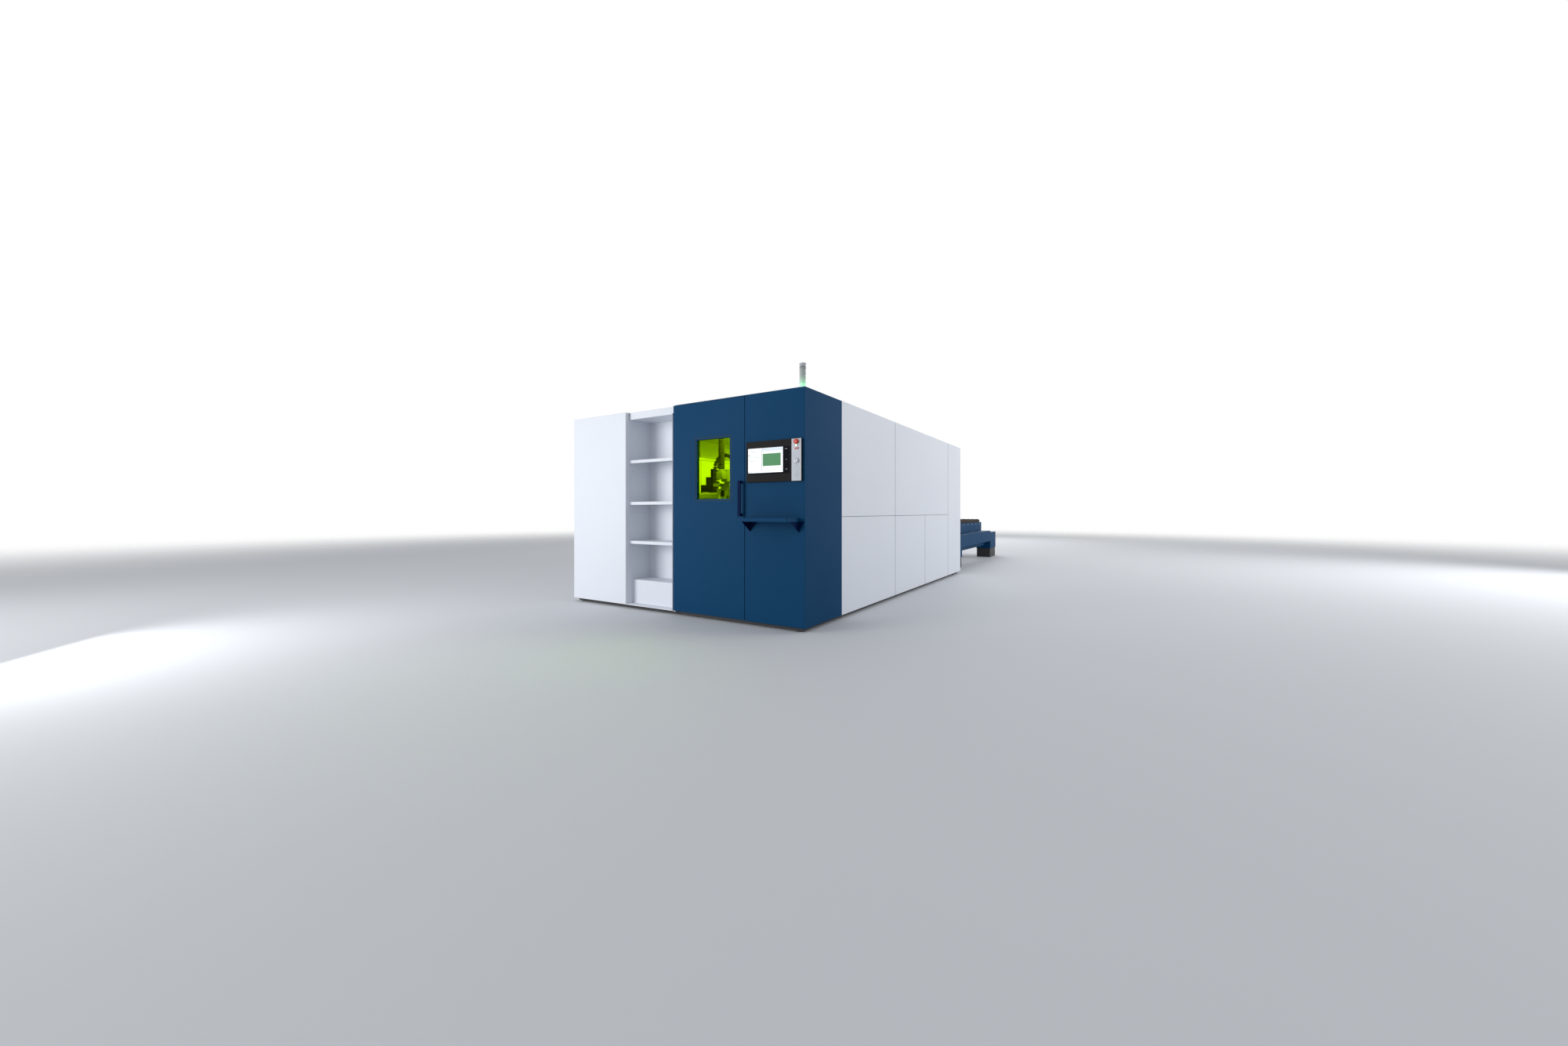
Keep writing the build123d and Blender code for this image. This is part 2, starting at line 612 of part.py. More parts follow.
def console():
    """The operator panel on the control column."""
    x1 = RIGHT_X - CONSOLE_RIGHT
    x0 = x1 - CONSOLE_WIDTH
    z0 = FLOOR_GAP + CONSOLE_BOTTOM
    z1 = z0 + CONSOLE_HEIGHT
    y0 = FRONT_Y - CONSOLE_DEPTH
    housing = block(x0, x1, y0, FRONT_Y, z0, z1)
    housing = chamfer(housing.faces().sort_by(Axis.Y)[0].edges(), EDGE_BREAK)
    sx1 = RIGHT_X - SCREEN_RIGHT
    sx0 = sx1 - SCREEN_WIDTH
    sz0 = FLOOR_GAP + SCREEN_BOTTOM
    recess = block(sx0, sx1, y0 - SHEET, y0 + SCREEN_THICKNESS, sz0, sz0 + SCREEN_HEIGHT)
    housing = housing - recess
    strip = block(x1 - STRIP_WIDTH, x1 - EDGE_BREAK, y0 - STRIP_THICKNESS, y0,
                  z0 + EDGE_BREAK, z1 - EDGE_BREAK)
    for _, x, size in button_places():
        hole = Pos(x, FRONT_Y - CONSOLE_DEPTH / 2, FLOOR_GAP + size["z"]) * Rot(90, 0, 0) * \
            Cylinder(size["stem"] + BUTTON_SLACK, CONSOLE_DEPTH * 1.5)
        reach = block(x - 2 * size["stem"], x + 2 * size["stem"],
                      FRONT_Y - CONSOLE_DEPTH * 0.2, FRONT_Y + CONSOLE_DEPTH, z0, z1)
        housing = housing - (hole - reach)
        strip = strip - hole
    shaft = Pos(strip_x(), FRONT_Y - CONSOLE_DEPTH, FLOOR_GAP + DIAL_Z) * Rot(90, 0, 0) * \
        Cylinder(DIAL_SHAFT + BUTTON_SLACK, CONSOLE_DEPTH)
    save("console_housing", housing - shaft)
    strip = strip - shaft
    face = y0 - STRIP_THICKNESS
    for z, dx in KEY_ROWS:
        x = strip_x() + dx
        strip = strip + block(x - KEY_SIZE / 2, x + KEY_SIZE / 2, face - KEY_HEIGHT, face,
                              FLOOR_GAP + z - KEY_SIZE / 2, FLOOR_GAP + z + KEY_SIZE / 2)
    save("control_strip", strip)
    save("display_glass", block(sx0, sx1, y0, y0 + SCREEN_THICKNESS, sz0, sz0 + SCREEN_HEIGHT))
    for name, x, size in button_places():
        save(name, strip_button(x, FLOOR_GAP + size["z"], size["cap"], size["stem"],
                                size["height"], size["travel"], size["dome"]))
    save("feed_dial", dial())


def dial():
    """The turning dial: a knob with finger flats and a pointer notch, on its shaft."""
    points = [
        (0, DIAL_HEIGHT),
        (DIAL_RADIUS * 0.8, DIAL_HEIGHT),
        (DIAL_RADIUS * 0.9, DIAL_HEIGHT * 0.3),
        (DIAL_RADIUS, CONTACT_GAP),
        (DIAL_SHAFT, CONTACT_GAP),
        (DIAL_SHAFT, -CONSOLE_DEPTH * 0.4),
        (0, -CONSOLE_DEPTH * 0.4),
    ]
    knob = revolve(Plane.XZ * make_face(Polyline(*points, close=True)), Axis.Z)
    notch = block(-1.5, 1.5, 0, DIAL_RADIUS, DIAL_HEIGHT - 1.5, DIAL_HEIGHT + 1)
    face = FRONT_Y - CONSOLE_DEPTH - STRIP_THICKNESS
    return Pos(strip_x(), face, FLOOR_GAP + DIAL_Z) * Rot(90, 0, 0) * (knob - notch)


def tray():
    """The folded keyboard tray and the two angle brackets under it."""
    middle = RIGHT_X - COLUMN_WIDTH / 2
    x0 = middle - TRAY_WIDTH / 2
    x1 = middle + TRAY_WIDTH / 2
    z1 = FLOOR_GAP + TRAY_TOP
    z0 = z1 - TRAY_LIP
    body = block(x0, x1, FRONT_Y - TRAY_DEPTH, FRONT_Y, z0, z1)
    body = chamfer(body.edges().filter_by(Axis.Z).sort_by(Axis.Y)[:2], EDGE_BREAK * 2)
    room = block(x0 + TRAY_SHEET, x1 - TRAY_SHEET, FRONT_Y - TRAY_DEPTH + TRAY_SHEET,
                 FRONT_Y - TRAY_SHEET, z0 + TRAY_SHEET, z1 + TRAY_SHEET)
    save("keyboard_tray", body - room)
    save("tray_brackets", *[bracket(x0 + start, z0, width)
                            for start, width in (LEFT_BRACKET, RIGHT_BRACKET)])


def bracket(x, z, width):
    """A folded angle bracket: one triangular cheek out under the tray, one flat on the wall."""
    cheek = make_face(Polyline((0, 0), (-BRACKET_REACH, 0), (0, -BRACKET_HEIGHT), close=True))
    flange = make_face(Polyline((0, 0), (width, 0), (0, -BRACKET_HEIGHT), close=True))
    body = extrude(Plane.YZ * cheek, BRACKET_THICKNESS)
    body = body + extrude(Plane.XZ * flange, BRACKET_THICKNESS)
    return Pos(x, FRONT_Y, z) * body


def lamp():
    """The signal lamp on the roof: a foot, a clear column and its cap."""
    x = RIGHT_X - LAMP_FROM_SIDE
    y = back(LAMP_FROM_FRONT)
    z = PANEL_TOP + ROOF_SHEET
    foot = rod(x, y, z, z + LAMP_FLANGE, LAMP_RADIUS + LAMP_FLANGE)
    foot = foot + rod(x, y, z, z + LAMP_BASE_HEIGHT, LAMP_RADIUS)
    save("lamp_base", foot)
    top = z + LAMP_HEIGHT
    save("lamp_column", rod(x, y, z + LAMP_BASE_HEIGHT, top - LAMP_CAP, LAMP_RADIUS - SHEET / 2))
    lid = rod(x, y, top - LAMP_CAP, top, LAMP_RADIUS)
    save("lamp_cap", chamfer(lid.faces().sort_by(Axis.Z)[-1].edges(), EDGE_BREAK))


# Bed and gantry

def ledges(face, side, y0, y1):
    """Upper and lower ledges that the pallet wheels run on, inward from a face."""
    edge = face - side * LEDGE_WIDTH
    x0, x1 = sorted((face, edge))
    upper = block(x0, x1, y0, y1, UPPER_LEVEL - LEDGE_THICKNESS, UPPER_LEVEL)
    lower = block(x0, x1, y0, y1, LOWER_LEVEL - LEDGE_THICKNESS, LOWER_LEVEL)
    return upper + lower


def bed():
    """Two tall bed beams with wheel ledges, guide rails and racks."""
    y0 = back(BED_START)
    y1 = back(bed_end())
    rails = []
    for name, side in (("right", 1), ("left", -1)):
        middle = bed_side(side)
        half = BED_BEAM_WIDTH / 2
        beam = block(middle - half, middle + half, y0, y1, BASE_TOP, BED_TOP)
        pocket = block(middle - half + BED_WALL, middle + half - BED_WALL, y0 - SHEET, y1 + SHEET,
                       BASE_TOP + BED_WALL, BED_TOP - BED_TOP_WALL)
        save(f"bed_beam_{name}", beam - pocket + ledges(middle - side * half, side, y0, y1))
        rails.extend(guide_rail(middle, side, y0 + RAIL_WIDTH, y1 - RAIL_WIDTH))
    save("guide_rails", *rails)


def guide_rail(x, side, y0, y1):
    """A waisted linear rail and the toothed rack beside it."""
    half = RAIL_WIDTH / 2
    waist = half * 0.7
    outline = Polyline(
        (-half, 0), (half, 0), (half, RAIL_HEIGHT * 0.3), (waist, RAIL_HEIGHT * 0.5),
        (half, RAIL_HEIGHT * 0.7), (half, RAIL_HEIGHT), (-half, RAIL_HEIGHT),
        (-half, RAIL_HEIGHT * 0.7), (-waist, RAIL_HEIGHT * 0.5), (-half, RAIL_HEIGHT * 0.3),
        close=True,
    )
    rail = Pos(x, y0, BED_TOP) * extrude(Plane.XZ * make_face(outline), -(y1 - y0))
    count = int((y1 - y0) / RACK_PITCH)
    points = [(0, 0), (RACK_TOOTH, 0)]
    for i in range(count):
        start = i * RACK_PITCH
        points.append((RACK_TOOTH, start + RACK_PITCH * 0.1))
        points.append((RACK_TOOTH * 2, start + RACK_PITCH * 0.35))
        points.append((RACK_TOOTH * 2, start + RACK_PITCH * 0.65))
        points.append((RACK_TOOTH, start + RACK_PITCH * 0.9))
    points.append((0, count * RACK_PITCH))
    near = x + side * (half + RACK_FROM_RAIL)
    teeth = make_face(Polyline(*[(side * a, b) for a, b in points], close=True))
    return rail, Pos(near, y0, BED_TOP) * extrude(teeth, RACK_HEIGHT, dir=(0, 0, 1))


def bridge_front():
    """The Y place of the bridge's front face."""
    return back(BRIDGE_AT) - BRIDGE_DEPTH / 2


def bridge_bottom():
    """The height of the bridge's underside, on top of its trucks."""
    return BED_TOP + TRUCK_GAP + TRUCK_HEIGHT


def cross_rail_heights():
    """Heights of the two rails on the bridge's front face."""
    z0 = bridge_bottom()
    return z0 + BRIDGE_HEIGHT * 0.2, z0 + BRIDGE_HEIGHT * 0.8


def truck(side):
    """The truck under one end of the bridge, grooved for the rail and cut away for the rack."""
    x = bed_side(side)
    y = back(BRIDGE_AT)
    z0 = bridge_bottom() - TRUCK_HEIGHT
    z1 = bridge_bottom()
    body = block(x - TRUCK_WIDTH / 2, x + TRUCK_WIDTH / 2, y - TRUCK_LENGTH / 2,
                 y + TRUCK_LENGTH / 2, z0, z1)
    clear = RAIL_WIDTH / 2 + CONTACT_GAP
    groove = block(x - clear, x + clear, y - TRUCK_LENGTH, y + TRUCK_LENGTH,
                   z0 - TRUCK_HEIGHT, BED_TOP + RAIL_HEIGHT + CONTACT_GAP)
    near, far = sorted((x + side * (RAIL_WIDTH + RACK_FROM_RAIL) / 2, x + side * TRUCK_WIDTH))
    rack_room = block(near, far, y - TRUCK_LENGTH, y + TRUCK_LENGTH, z0 - TRUCK_HEIGHT,
                      BED_TOP + RACK_HEIGHT + TRUCK_GAP)
    return body - groove - rack_room


def bridge():
    """The bridge that spans the bed, on one truck at each end."""
    front = bridge_front()
    z0 = bridge_bottom()
    z1 = z0 + BRIDGE_HEIGHT
    x0 = bed_side(-1) - BED_BEAM_WIDTH / 2
    x1 = bed_side(1) + BED_BEAM_WIDTH / 2
    beam = block(x0, x1, front, front + BRIDGE_DEPTH, z0, z1)
    beam = chamfer(beam.edges().filter_by(Axis.X), BRIDGE_EDGE)
    pitch = (x1 - x0) / BRIDGE_POCKETS
    for i in range(BRIDGE_POCKETS):
        centre = x0 + (i + 0.5) * pitch
        beam = beam - block(centre - pitch * 0.4, centre + pitch * 0.4,
                            front + BRIDGE_DEPTH * 0.8, front + BRIDGE_DEPTH * 1.5,
                            z0 + BRIDGE_HEIGHT * 0.2, z1 - BRIDGE_HEIGHT * 0.2)
    for side in (-1, 1):
        beam = beam + truck(side)
    for z in cross_rail_heights():
        beam = beam + block(x0 + CROSS_RAIL, x1 - CROSS_RAIL, front - CROSS_RAIL, front,
                            z - CROSS_RAIL / 2, z + CROSS_RAIL / 2)
    save("gantry_bridge", beam)


def chain_y():
    """The Y place of the middle of the energy chain."""
    return bridge_front() - SADDLE_GAP - SADDLE_THICKNESS - CHAIN_FROM_SADDLE


def slide_rails(front, depth, half_width, z0, z1):
    """Two upright rails, or the room for them, standing forward from a face."""
    left = block(CARRIAGE_X - SLIDE_RAIL_X - half_width, CARRIAGE_X - SLIDE_RAIL_X + half_width,
                 front - depth, front, z0, z1)
    return left, Pos(2 * SLIDE_RAIL_X, 0, 0) * left


def carriage():
    """The saddle that runs across the bridge, with its drive tower and chain bracket."""
    front = bridge_front()
    x = CARRIAGE_X
    half = CARRIAGE_WIDTH / 2
    z0 = bridge_bottom()
    z1 = z0 + BRIDGE_HEIGHT + SADDLE_RISE
    y1 = front - SADDLE_GAP
    y0 = y1 - SADDLE_THICKNESS
    saddle = block(x - half, x + half, y0, y1, z0, z1)
    clear = CROSS_RAIL / 2 + CONTACT_GAP
    for z in cross_rail_heights():
        saddle = saddle - block(x - half - SHEET, x + half + SHEET,
                                front - CROSS_RAIL - CONTACT_GAP, front, z - clear, z + clear)
    for rail in slide_rails(y0, SLIDE_RAIL_DEPTH, SLIDE_RAIL_WIDTH / 2,
                            z0 + SLIDE_RAIL_END, z1 - SLIDE_RAIL_END):
        saddle = saddle + rail
    tower_front = y0 + TOWER_SETBACK
    tower = block(x - TOWER_HALF, x + TOWER_HALF, tower_front, y1, z1, TOWER_TOP)
    motor = block(x - MOTOR_HALF, x + MOTOR_HALF, tower_front - MOTOR_DEPTH, tower_front,
                  TOWER_TOP - MOTOR_HEIGHT, TOWER_TOP - MOTOR_EDGE)
    motor = chamfer(motor.edges().filter_by(Axis.Z), MOTOR_EDGE)
    reach = x - CHAIN_RADIUS - CHAIN_THICKNESS / 2
    plate_z = CHAIN_FOOT_Z - CHAIN_PLATE
    arm = block(reach, x - TOWER_HALF, chain_y() - CHAIN_WIDTH / 2, y1, plate_z, CHAIN_FOOT_Z)
    web = block(x - TOWER_HALF - ARM_WEB, x - TOWER_HALF, tower_front, y1, z1, plate_z)
    save("carriage", saddle + tower + motor + arm + web)


def head():
    """The slide that carries the cutting head, the head itself and its nozzle."""
    x = CARRIAGE_X
    rail_face = bridge_front() - SADDLE_GAP - SADDLE_THICKNESS
    y1 = rail_face - SADDLE_GAP
    y0 = y1 - HEAD_PLATE
    z0 = bridge_bottom()
    plate_z = CHAIN_FOOT_Z - CHAIN_PLATE
    z1 = plate_z - HEAD_TRAVEL
    plate = block(x - HEAD_PLATE_HALF, x + HEAD_PLATE_HALF, y0, y1, z0, z1)
    for room in slide_rails(y1, rail_room() - SADDLE_GAP, SLIDE_RAIL_WIDTH / 2 + CONTACT_GAP,
                            z0, z1):
        plate = plate - room
    riser_x = x + HEAD_PLATE_HALF - RISER_WIDTH
    riser = block(riser_x, x + HEAD_PLATE_HALF, y0, y1, z1, plate_z)
    landing = block(riser_x, x + CHAIN_RADIUS + CHAIN_THICKNESS / 2,
                    chain_y() - CHAIN_WIDTH / 2, y1, plate_z, CHAIN_FOOT_Z)
    save("head_slide", plate + riser + landing)
    centre_y = y0 - HEAD_RADIUS - HEAD_STANDOFF
    tip = UPPER_LEVEL + pallet_height() + HEAD_TIP_GAP
    save("cutting_head", Pos(x, centre_y, 0) * head_body(tip + NOZZLE_HEIGHT, z1 - HEAD_BELOW_PLATE))
    r = HEAD_RADIUS * 0.3
    cone = Polyline((0, tip), (NOZZLE_TIP, tip), (r, tip + NOZZLE_HEIGHT * 0.75),
                    (r, tip + NOZZLE_HEIGHT), (0, tip + NOZZLE_HEIGHT), close=True)
    save("cutting_nozzle", Pos(x, centre_y, 0) * revolve(Plane.XZ * make_face(cone), Axis.Z))


def rail_room():
    """How deep the head slide is grooved for the saddle's upright rails, from the saddle."""
    return SLIDE_RAIL_DEPTH + CONTACT_GAP


def head_body(bottom, top):
    """The turned cutting head, stepped like its sensor, lens and collimator housings."""
    r = HEAD_RADIUS
    sensor_top = bottom + HEAD_SENSOR
    lens_top = sensor_top + HEAD_LENS
    outline = Polyline(
        (0, bottom), (r * 0.4, bottom), (r * 0.6, bottom + HEAD_SENSOR / 2), (r * 0.6, sensor_top),
        (r * 0.85, sensor_top), (r * 0.85, lens_top), (r, lens_top), (r, top), (0, top),
        close=True,
    )
    collar = block(-r * 0.7, r * 0.7, 0, r + HEAD_STANDOFF, lens_top, top - HEAD_BELOW_PLATE)
    return revolve(Plane.XZ * make_face(outline), Axis.Z) + collar


def energy_chain():
    """The arched energy chain between the carriage and the cutting head's slide."""
    centre = Pos(CARRIAGE_X, chain_y(), CHAIN_CENTRE_Z)
    core = CHAIN_THICKNESS * CHAIN_CORE
    width = CHAIN_WIDTH * CHAIN_CORE
    ring = Cylinder(CHAIN_RADIUS + core / 2, width) - Cylinder(CHAIN_RADIUS - core / 2, width * 2)
    below = block(-2 * CHAIN_RADIUS, 2 * CHAIN_RADIUS, -width, width, -2 * CHAIN_RADIUS, 0)
    chain = Rot(90, 0, 0) * ring - below
    pitch = CHAIN_RADIUS * math.pi / CHAIN_LINKS
    link = Box(CHAIN_THICKNESS, CHAIN_WIDTH, pitch * CHAIN_LINK_SHARE)
    for i in range(CHAIN_LINKS):
        turn = 180 * (i + 0.5) / CHAIN_LINKS
        chain = chain + Rot(0, -turn, 0) * Pos(CHAIN_RADIUS, 0, 0) * link
    leg = CHAIN_CENTRE_Z - CHAIN_FOOT_Z
    leg_links = max(1, round(leg / pitch))
    step = leg / leg_links
    leg_link = Box(CHAIN_THICKNESS, CHAIN_WIDTH, step * CHAIN_LINK_SHARE)
    for x in (-CHAIN_RADIUS, CHAIN_RADIUS):
        chain = chain + block(x - core / 2, x + core / 2, -width / 2, width / 2, -leg, 0)
        for i in range(leg_links):
            chain = chain + Pos(x, 0, (i + 0.5) * step - leg) * leg_link
    save("energy_chain_arch", centre * chain)


def cabinet():
    """The laser source cabinet beside the bed."""
    x0 = LEFT_X + PANEL_DEPTH + CABINET_GAP
    x1 = bed_side(-1) - BED_BEAM_WIDTH / 2 - CABINET_FROM_BED
    body = block(x0, x1, back(CABINET_START), back(CABINET_START + CABINET_LENGTH),
                 BASE_TOP, BASE_TOP + CABINET_HEIGHT)
    save("laser_source_cabinet", chamfer(body.edges().filter_by(Axis.Z), CABINET_EDGE))


# Pallet changer and pallets

def changer():
    """The two long beams, cross beams, corner boxes and feet behind the cabin."""
    end = CABIN_LENGTH + CHANGER_LENGTH
    box_start = end - CORNER_BOX_LENGTH
    post_start = CABIN_LENGTH + NEAR_POST_START
    post_end = post_start + NEAR_POST_LENGTH
    feet = []
    boxes = []
    for name, side in (("right", 1), ("left", -1)):
        inner = WORK_CENTRE_X + side * BED_HALF
        outer = inner + side * CHANGER_BEAM_WIDTH
        save(f"changer_beam_{name}", changer_beam(side, inner, outer, post_start, post_end, box_start))
        feet.append(changer_foot(inner, outer, post_start, post_end, NEAR_FOOT_HEIGHT))
        box_inner = outer - side * CORNER_BOX_WIDTH
        x0, x1 = sorted((box_inner, outer))
        box = block(x0, x1, back(box_start), back(end), CORNER_FOOT_HEIGHT, CORNER_BOX_TOP)
        boxes.append(chamfer(box.edges(), EDGE_BREAK * 2))
        feet.append(changer_foot(box_inner, outer, box_start, end, CORNER_FOOT_HEIGHT))
    save("changer_feet", *feet)
    save("changer_corner_boxes", *boxes)
    middle = (post_start + post_end) / 2
    save("changer_cross_near", block(WORK_CENTRE_X - BED_HALF, WORK_CENTRE_X + BED_HALF,
                                     back(middle - CROSS_BEAM_WIDTH / 2),
                                     back(middle + CROSS_BEAM_WIDTH / 2),
                                     NEAR_FOOT_HEIGHT, NEAR_FOOT_HEIGHT + CROSS_BEAM_HEIGHT))
    reach = BED_HALF + CHANGER_BEAM_WIDTH - CORNER_BOX_WIDTH
    save("changer_cross_far", block(WORK_CENTRE_X - reach, WORK_CENTRE_X + reach,
                                    back(box_start + FAR_BEAM_SETBACK),
                                    back(box_start + FAR_BEAM_SETBACK + FAR_BEAM_WIDTH),
                                    CORNER_FOOT_HEIGHT + FAR_BEAM_INSET,
                                    CORNER_BOX_TOP - FAR_BEAM_SETBACK))


def changer_beam(side, inner, outer, post_start, post_end, box_start):
    """One long beam with its near post and its wheel ledges, which run on to the bed."""
    x0, x1 = sorted((inner, outer))
    z0 = CHANGER_BEAM_TOP - CHANGER_BEAM_HEIGHT
    beam = block(x0, x1, back(CABIN_LENGTH + CHANGER_GAP), back(box_start), z0, CHANGER_BEAM_TOP)
    beam = chamfer(beam.edges().filter_by(Axis.Y), EDGE_BREAK * 2)
    post = block(x0, x1, back(post_start), back(post_end), NEAR_FOOT_HEIGHT, z0 + EDGE_BREAK * 2)
    near, far = sorted((inner, inner - side * RAIL_WEB))
    web = block(near, far, back(bed_end()), back(box_start), LOWER_LEVEL - LEDGE_THICKNESS,
                CHANGER_BEAM_TOP)
    return beam + post + web + ledges(inner, side, back(bed_end()), back(box_start))


def changer_foot(inner, outer, start, end, height):
    """A dark foot, set back a little all round under a post or corner box."""
    x0, x1 = sorted((inner, outer))
    return block(x0 + FOOT_INSET, x1 - FOOT_INSET, back(start + FOOT_INSET),
                 back(end - FOOT_INSET), 0, height)


def slat(length):
    """One upright slat with sawtooth support tips, standing on Z 0."""
    teeth = max(2, round(length / TOOTH_PITCH))
    step = length / teeth
    valley = SLAT_HEIGHT - TOOTH_DEPTH
    points = [(-length / 2, 0), (-length / 2, valley)]
    for i in range(teeth):
        start = -length / 2 + i * step
        points.append((start + step / 2, SLAT_HEIGHT))
        points.append((start + step, valley))
    points.append((length / 2, 0))
    outline = make_face(Polyline(*points, close=True))
    return extrude(Plane.XZ * outline, SLAT_THICKNESS / 2, both=True)


def pallet_side(side, y0, level):
    """One long side of a pallet: a channel, the slats' comb on top, and its wheels."""
    y1 = y0 + PALLET_LENGTH
    z0 = level + PALLET_CLEARANCE
    z1 = z0 + PALLET_BEAM_HEIGHT
    middle_z = z0 + PALLET_BEAM_HEIGHT / 2
    outer = WORK_CENTRE_X + side * (BED_HALF - PALLET_SIDE_GAP)
    x0, x1 = sorted((outer, outer - side * PALLET_BEAM_WIDTH))
    web_x0, web_x1 = sorted((outer, outer - side * PALLET_WALL))
    comb_x0, comb_x1 = sorted((outer, outer - side * COMB_HEIGHT * 2))
    beam = block(web_x0, web_x1, y0, y1, z0, z1)
    beam = beam + block(x0, x1, y0, y1, z1 - PALLET_WALL, z1)
    beam = beam + block(x0, x1, y0, y1, middle_z, middle_z + PALLET_WALL)
    beam = beam + block(comb_x0, comb_x1, y0, y1, z1, z1 + COMB_HEIGHT)
    wheel_x = outer - side * (PALLET_WALL + WHEEL_WIDTH / 2)
    for i in range(PALLET_WHEELS):
        y = y0 + PALLET_LENGTH * (i + 0.5) / PALLET_WHEELS
        place = Pos(wheel_x, y, level + WHEEL_RADIUS + CONTACT_GAP)
        beam = beam + place * Rot(0, 90, 0) * Cylinder(WHEEL_RADIUS, WHEEL_WIDTH)
    return beam


def pallet_frame(y0, level):
    """The frame of a pallet: two long sides, a middle beam and cross beams between them."""
    z1 = level + PALLET_CLEARANCE + PALLET_BEAM_HEIGHT
    z0 = z1 - PALLET_BEAM_HEIGHT / 2
    middle = PALLET_BEAM_WIDTH / 2
    solids = [pallet_side(side, y0, level) for side in (-1, 1)]
    solids.append(block(WORK_CENTRE_X - middle, WORK_CENTRE_X + middle, y0, y0 + PALLET_LENGTH,
                        z0, z1 + COMB_HEIGHT))
    step = (PALLET_LENGTH - PALLET_BEAM_WIDTH) / PALLET_BAYS
    for i in range(PALLET_BAYS + 1):
        start = y0 + i * step
        for side in (-1, 1):
            near = WORK_CENTRE_X + side * middle
            far = WORK_CENTRE_X + side * (BED_HALF - PALLET_SIDE_GAP - PALLET_BEAM_WIDTH)
            x0, x1 = sorted((near, far))
            solids.append(block(x0, x1, start, start + PALLET_BEAM_WIDTH, z0, z1))
    return solids


def pallet(name, y0, level):
    """A cutting pallet: its frame on wheels and its field of slats."""
    save(f"{name}_pallet_frame", *pallet_frame(y0, level))
    count = int((PALLET_LENGTH - SLAT_PITCH) / SLAT_PITCH)
    first = y0 + (PALLET_LENGTH - (count - 1) * SLAT_PITCH) / 2
    pattern = slat(2 * (BED_HALF - PALLET_SIDE_GAP))
    foot = level + PALLET_CLEARANCE + PALLET_BEAM_HEIGHT + COMB_HEIGHT
    save(f"{name}_pallet_slats",
         *[Pos(WORK_CENTRE_X, first + i * SLAT_PITCH, foot) * pattern for i in range(count)])


def pallets():
    """The upper pallet out on the changer and the lower one in the cabin."""
    outside = REAR_Y + PALLET_AT
    pallet("upper", outside, UPPER_LEVEL)
    pallet("lower", outside - PALLET_TRAVEL, LOWER_LEVEL)


base()
casing()
guard()
niche()
door()
console()
tray()
lamp()
bed()
bridge()
carriage()
head()
energy_chain()
cabinet()
changer()
pallets()
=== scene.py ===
"""Dresses the fiber laser cutting machine: finishes, fine pieces, studio and camera."""
import logging
import math
from dataclasses import dataclass
from enum import Enum
from functools import cache

import bmesh
import bpy
from mathutils import Matrix, Vector


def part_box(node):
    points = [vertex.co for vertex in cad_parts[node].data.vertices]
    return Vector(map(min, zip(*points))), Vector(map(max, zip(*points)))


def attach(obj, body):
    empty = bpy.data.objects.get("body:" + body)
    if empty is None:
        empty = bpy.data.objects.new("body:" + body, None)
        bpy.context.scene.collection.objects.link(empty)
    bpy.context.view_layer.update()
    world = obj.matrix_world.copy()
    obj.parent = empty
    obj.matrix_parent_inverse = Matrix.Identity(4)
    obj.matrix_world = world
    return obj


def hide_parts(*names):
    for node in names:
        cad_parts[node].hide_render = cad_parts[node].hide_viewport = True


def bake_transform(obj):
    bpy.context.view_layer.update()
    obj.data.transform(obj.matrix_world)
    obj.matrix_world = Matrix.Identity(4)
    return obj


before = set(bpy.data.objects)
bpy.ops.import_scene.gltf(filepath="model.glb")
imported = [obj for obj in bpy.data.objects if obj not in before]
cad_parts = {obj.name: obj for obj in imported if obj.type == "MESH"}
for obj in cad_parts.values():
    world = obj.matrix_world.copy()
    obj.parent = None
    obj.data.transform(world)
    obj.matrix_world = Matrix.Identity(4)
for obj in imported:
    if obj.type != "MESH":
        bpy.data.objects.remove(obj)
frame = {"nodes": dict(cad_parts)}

LOG = logging.getLogger("laser_cutter")
Colour = tuple[float, float, float]
Point = tuple[float, float, float]
Profile = tuple[tuple[float, float], ...]

# How far the roughness varies over a surface
ROUGHNESS_SPREAD = 0.12

# Scales of a surface's fine grain and slow variation, and the grain's stretch
SURFACE_RECIPES = {
    "powder_coat": (420.0, 1.3, (1.0, 1.0, 1.0)),
    "ground_metal": (160.0, 6.0, (18.0, 1.0, 18.0)),
    "moulded_grain": (1500.0, 9.0, (1.0, 1.0, 1.0)),
}

# Sharpest edge in degrees that is still shaded smooth
SMOOTH_ANGLE = 40.0

# Socket numbers of the colour mix node, whose names repeat
MIX_FACTOR, MIX_FIRST, MIX_SECOND, MIX_RESULT = 0, 6, 7, 2


class Axis(Enum):
    """The axis that a round or long piece runs along."""

    X = "x"
    Y = "y"
    Z = "z"


# Shader node groups

def new_group(name: str, inputs: dict[str, float], outputs: dict[str, str]) -> bpy.types.NodeTree:
    """Makes an empty shader node group with named sockets.

    Args:
        name: Name of the group.
        inputs: Input names and their default numbers.
        outputs: Output names and their socket types.

    Returns:
        The group, with its Group Input and Group Output nodes.
    """
    group = bpy.data.node_groups.new(name, "ShaderNodeTree")
    for label, value in inputs.items():
        socket = group.interface.new_socket(label, in_out="INPUT", socket_type="NodeSocketFloat")
        socket.default_value = value
    for label, kind in outputs.items():
        group.interface.new_socket(label, in_out="OUTPUT", socket_type=kind)
    group.nodes.new("NodeGroupInput")
    group.nodes.new("NodeGroupOutput")
    return group


